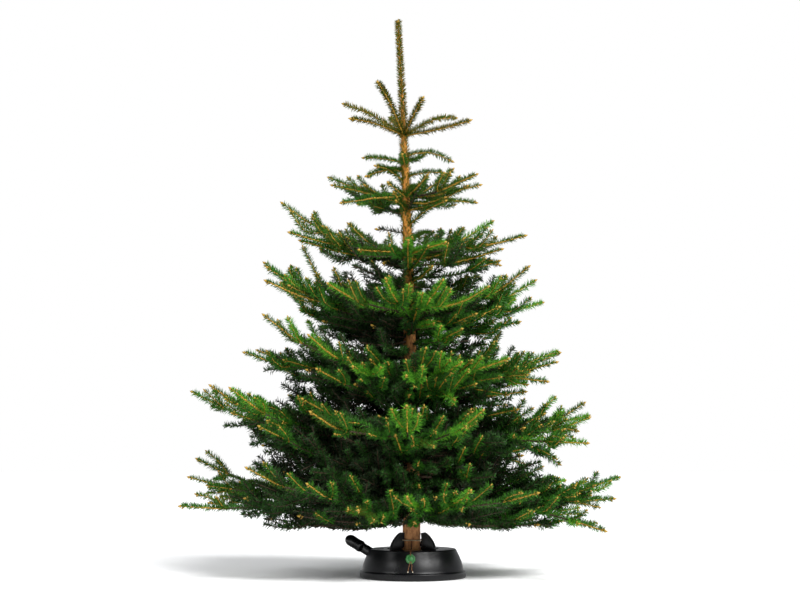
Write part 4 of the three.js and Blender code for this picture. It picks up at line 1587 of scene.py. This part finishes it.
class SPRUCE_OT_twigs(Operator):
    """The wood of every axis of the crown."""

    bl_idname = "spruce.twigs"
    bl_label = "Twigs"

    def execute(self, context):
        # Thin bark, dull and even: dark on old twigs and on all of a shaded spray's twigs, which is
        # painted shade, and golden on last year's.
        kinds = {kind: dull_material(f"spruce_twig_{kind}", linear(colour), 11.1, 0.55, 0.8)
                 for kind, colour in (("old", "#3a2918"), ("young", "#b88a2c"))}
        blocks = {}
        for axis in grown_crown():
            line = axis.line
            # A spray dealt one of the two darkest tones has dark twigs from end to end: painted shade,
            # not only old bark.
            young = line.length if axis.tone < 2 else axis.nodes[0] if axis.nodes else 0.0
            share = young / line.length
            thin = TWIG_END if axis.order or axis.tier == "top" else LIMB_END
            middle = axis.girth * (1 - share) + thin * share
            stretches = []
            if young < line.length:
                stretches.append(("young", young, line.length, (middle, thin)))
            if young > 0:
                stretches.append(("old", 0.0, young, (axis.girth, middle)))
            for kind, start, end, girths in stretches:
                tube = tube_block(line, start, end, girths, 3 if axis.order else 6)
                blocks.setdefault((axis.tier, kind), []).append(tube)
        for (tier, kind), tubes in sorted(blocks.items()):
            points = np.concatenate([rows for rows, _ in tubes])
            firsts = np.cumsum([0] + [len(rows) for rows, _ in tubes])
            faces = np.concatenate([quads + first for (_, quads), first in zip(tubes, firsts)])
            piece = add_mesh(f"{tier}_{kind}_twigs", points, faces, kinds[kind], True)
            seat(piece, TREE)
            if kind == "young" and tier != "heart":
                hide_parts(*(top_names() if tier == "top" else mass_names(tier)))
        return {"FINISHED"}


# The studio, in metres from the stand's middle: a white room with a key light and two soft boxes.
FLOOR_HALF = 40
KEY_LIGHT = (2.5, -3.7, 5.2)
SOFT_BOXES = {"soft_box_right": ((2.7, -1.8, 2.6), 85), "soft_box_left": ((-2.7, -1.8, 2.6), 70)}
CAMERA_FROM = (-0.0445, -5.0, 0.406)
CAMERA_TO = (-0.0445, 0, 0.9721)
CROWN_MIDDLE = (0, 0, 0.95)


class SPRUCE_OT_stage(Operator):
    """A plain pale floor, soft studio light and the camera."""

    bl_idname = "spruce.stage"
    bl_label = "Stage"

    def execute(self, context):
        scene = context.scene
        scene.view_settings.view_transform = "Standard"
        floor = bmesh.new()
        bmesh.ops.create_grid(floor, x_segments=1, y_segments=1, size=FLOOR_HALF)
        # Matt paper: near white, without a reflection.
        paper = textured_material("pale_floor", "#fafafa", 0.9, 20, 0.0001)
        finished(floor, "floor", paper)
        self.sky(scene)
        # The key light is broad, high and a little to the right of the front.
        key = bpy.data.lights.new("key", "SUN")
        key.energy = 4.0
        key.angle = math.radians(24)
        self.aimed("key", key, KEY_LIGHT)
        for name, (place, power) in SOFT_BOXES.items():
            light = bpy.data.lights.new(name, "AREA")
            light.energy = power
            light.size = 1.6
            self.aimed(name, light, place)
        camera = bpy.data.cameras.new("camera")
        camera.lens = 63.6
        scene.camera = self.aimed("camera", camera, CAMERA_FROM, CAMERA_TO)
        return {"FINISHED"}

    @staticmethod
    def aimed(name, data, place, target=CROWN_MIDDLE):
        """An object of this data that looks from one place at another."""
        made = placed(name, data)
        made.location = place
        made.rotation_euler = (Vector(target) - made.location).to_track_quat("-Z", "Y").to_euler()
        return made

    @staticmethod
    def sky(scene):
        """White surroundings that light the scene less than they show."""
        world = bpy.data.worlds.new("studio")
        scene.world = world
        world.use_nodes = True
        tree = world.node_tree
        tree.nodes.clear()
        seen = add_node(tree, "ShaderNodeBackground", Color=(1, 1, 1, 1), Strength=1.0)
        light = add_node(tree, "ShaderNodeBackground", Color=(0.96, 0.98, 1, 1), Strength=0.45)
        path = add_node(tree, "ShaderNodeLightPath")
        both = tree.nodes.new("ShaderNodeMixShader")
        out = tree.nodes.new("ShaderNodeOutputWorld")
        tree.links.new(path.outputs["Is Camera Ray"], both.inputs[0])
        tree.links.new(light.outputs[0], both.inputs[1])
        tree.links.new(seen.outputs[0], both.inputs[2])
        tree.links.new(both.outputs[0], out.inputs["Surface"])


class SPRUCE_PT_panel(Panel):
    """Lists the sizes and colours, and a button for each group of pieces."""

    bl_idname = "SPRUCE_PT_panel"
    bl_label = "Spruce in its stand"
    bl_space_type = "VIEW_3D"
    bl_region_type = "UI"
    bl_category = "Spruce"

    def draw(self, context):
        for name in GROUPS:
            group = getattr(context.scene, name)
            for key in group.bl_rna.properties.keys():
                if key not in ("rna_type", "name"):
                    self.layout.prop(group, key)
        for made in OPERATORS:
            self.layout.operator(made.bl_idname)


GROUPS = {"spruce_growth": GrowthSizes, "spruce_needles": NeedleSizes, "spruce_colours": TreeColours}
OPERATORS = (SPRUCE_OT_trunk, SPRUCE_OT_boughs, SPRUCE_OT_twigs, SPRUCE_OT_needles, SPRUCE_OT_buds,
             SPRUCE_OT_stand_base, SPRUCE_OT_foot_lever, SPRUCE_OT_claws, SPRUCE_OT_claw_cable,
             SPRUCE_OT_seal, SPRUCE_OT_stage)


def register():
    """Makes the sizes, the buttons and the panel known to Blender."""
    for made in (*GROUPS.values(), *OPERATORS, SPRUCE_PT_panel):
        bpy.utils.register_class(made)
    for name, group in GROUPS.items():
        setattr(bpy.types.Scene, name, PointerProperty(type=group))


def unregister():
    """Takes away what register() made."""
    for name in GROUPS:
        delattr(bpy.types.Scene, name)
    for made in (SPRUCE_PT_panel, *reversed(OPERATORS), *GROUPS.values()):
        bpy.utils.unregister_class(made)


def main():
    """Makes every piece in order."""
    register()
    for made in OPERATORS:
        group, name = made.bl_idname.split(".")
        getattr(getattr(bpy.ops, group), name)()


if __name__ == "__main__":
    main()
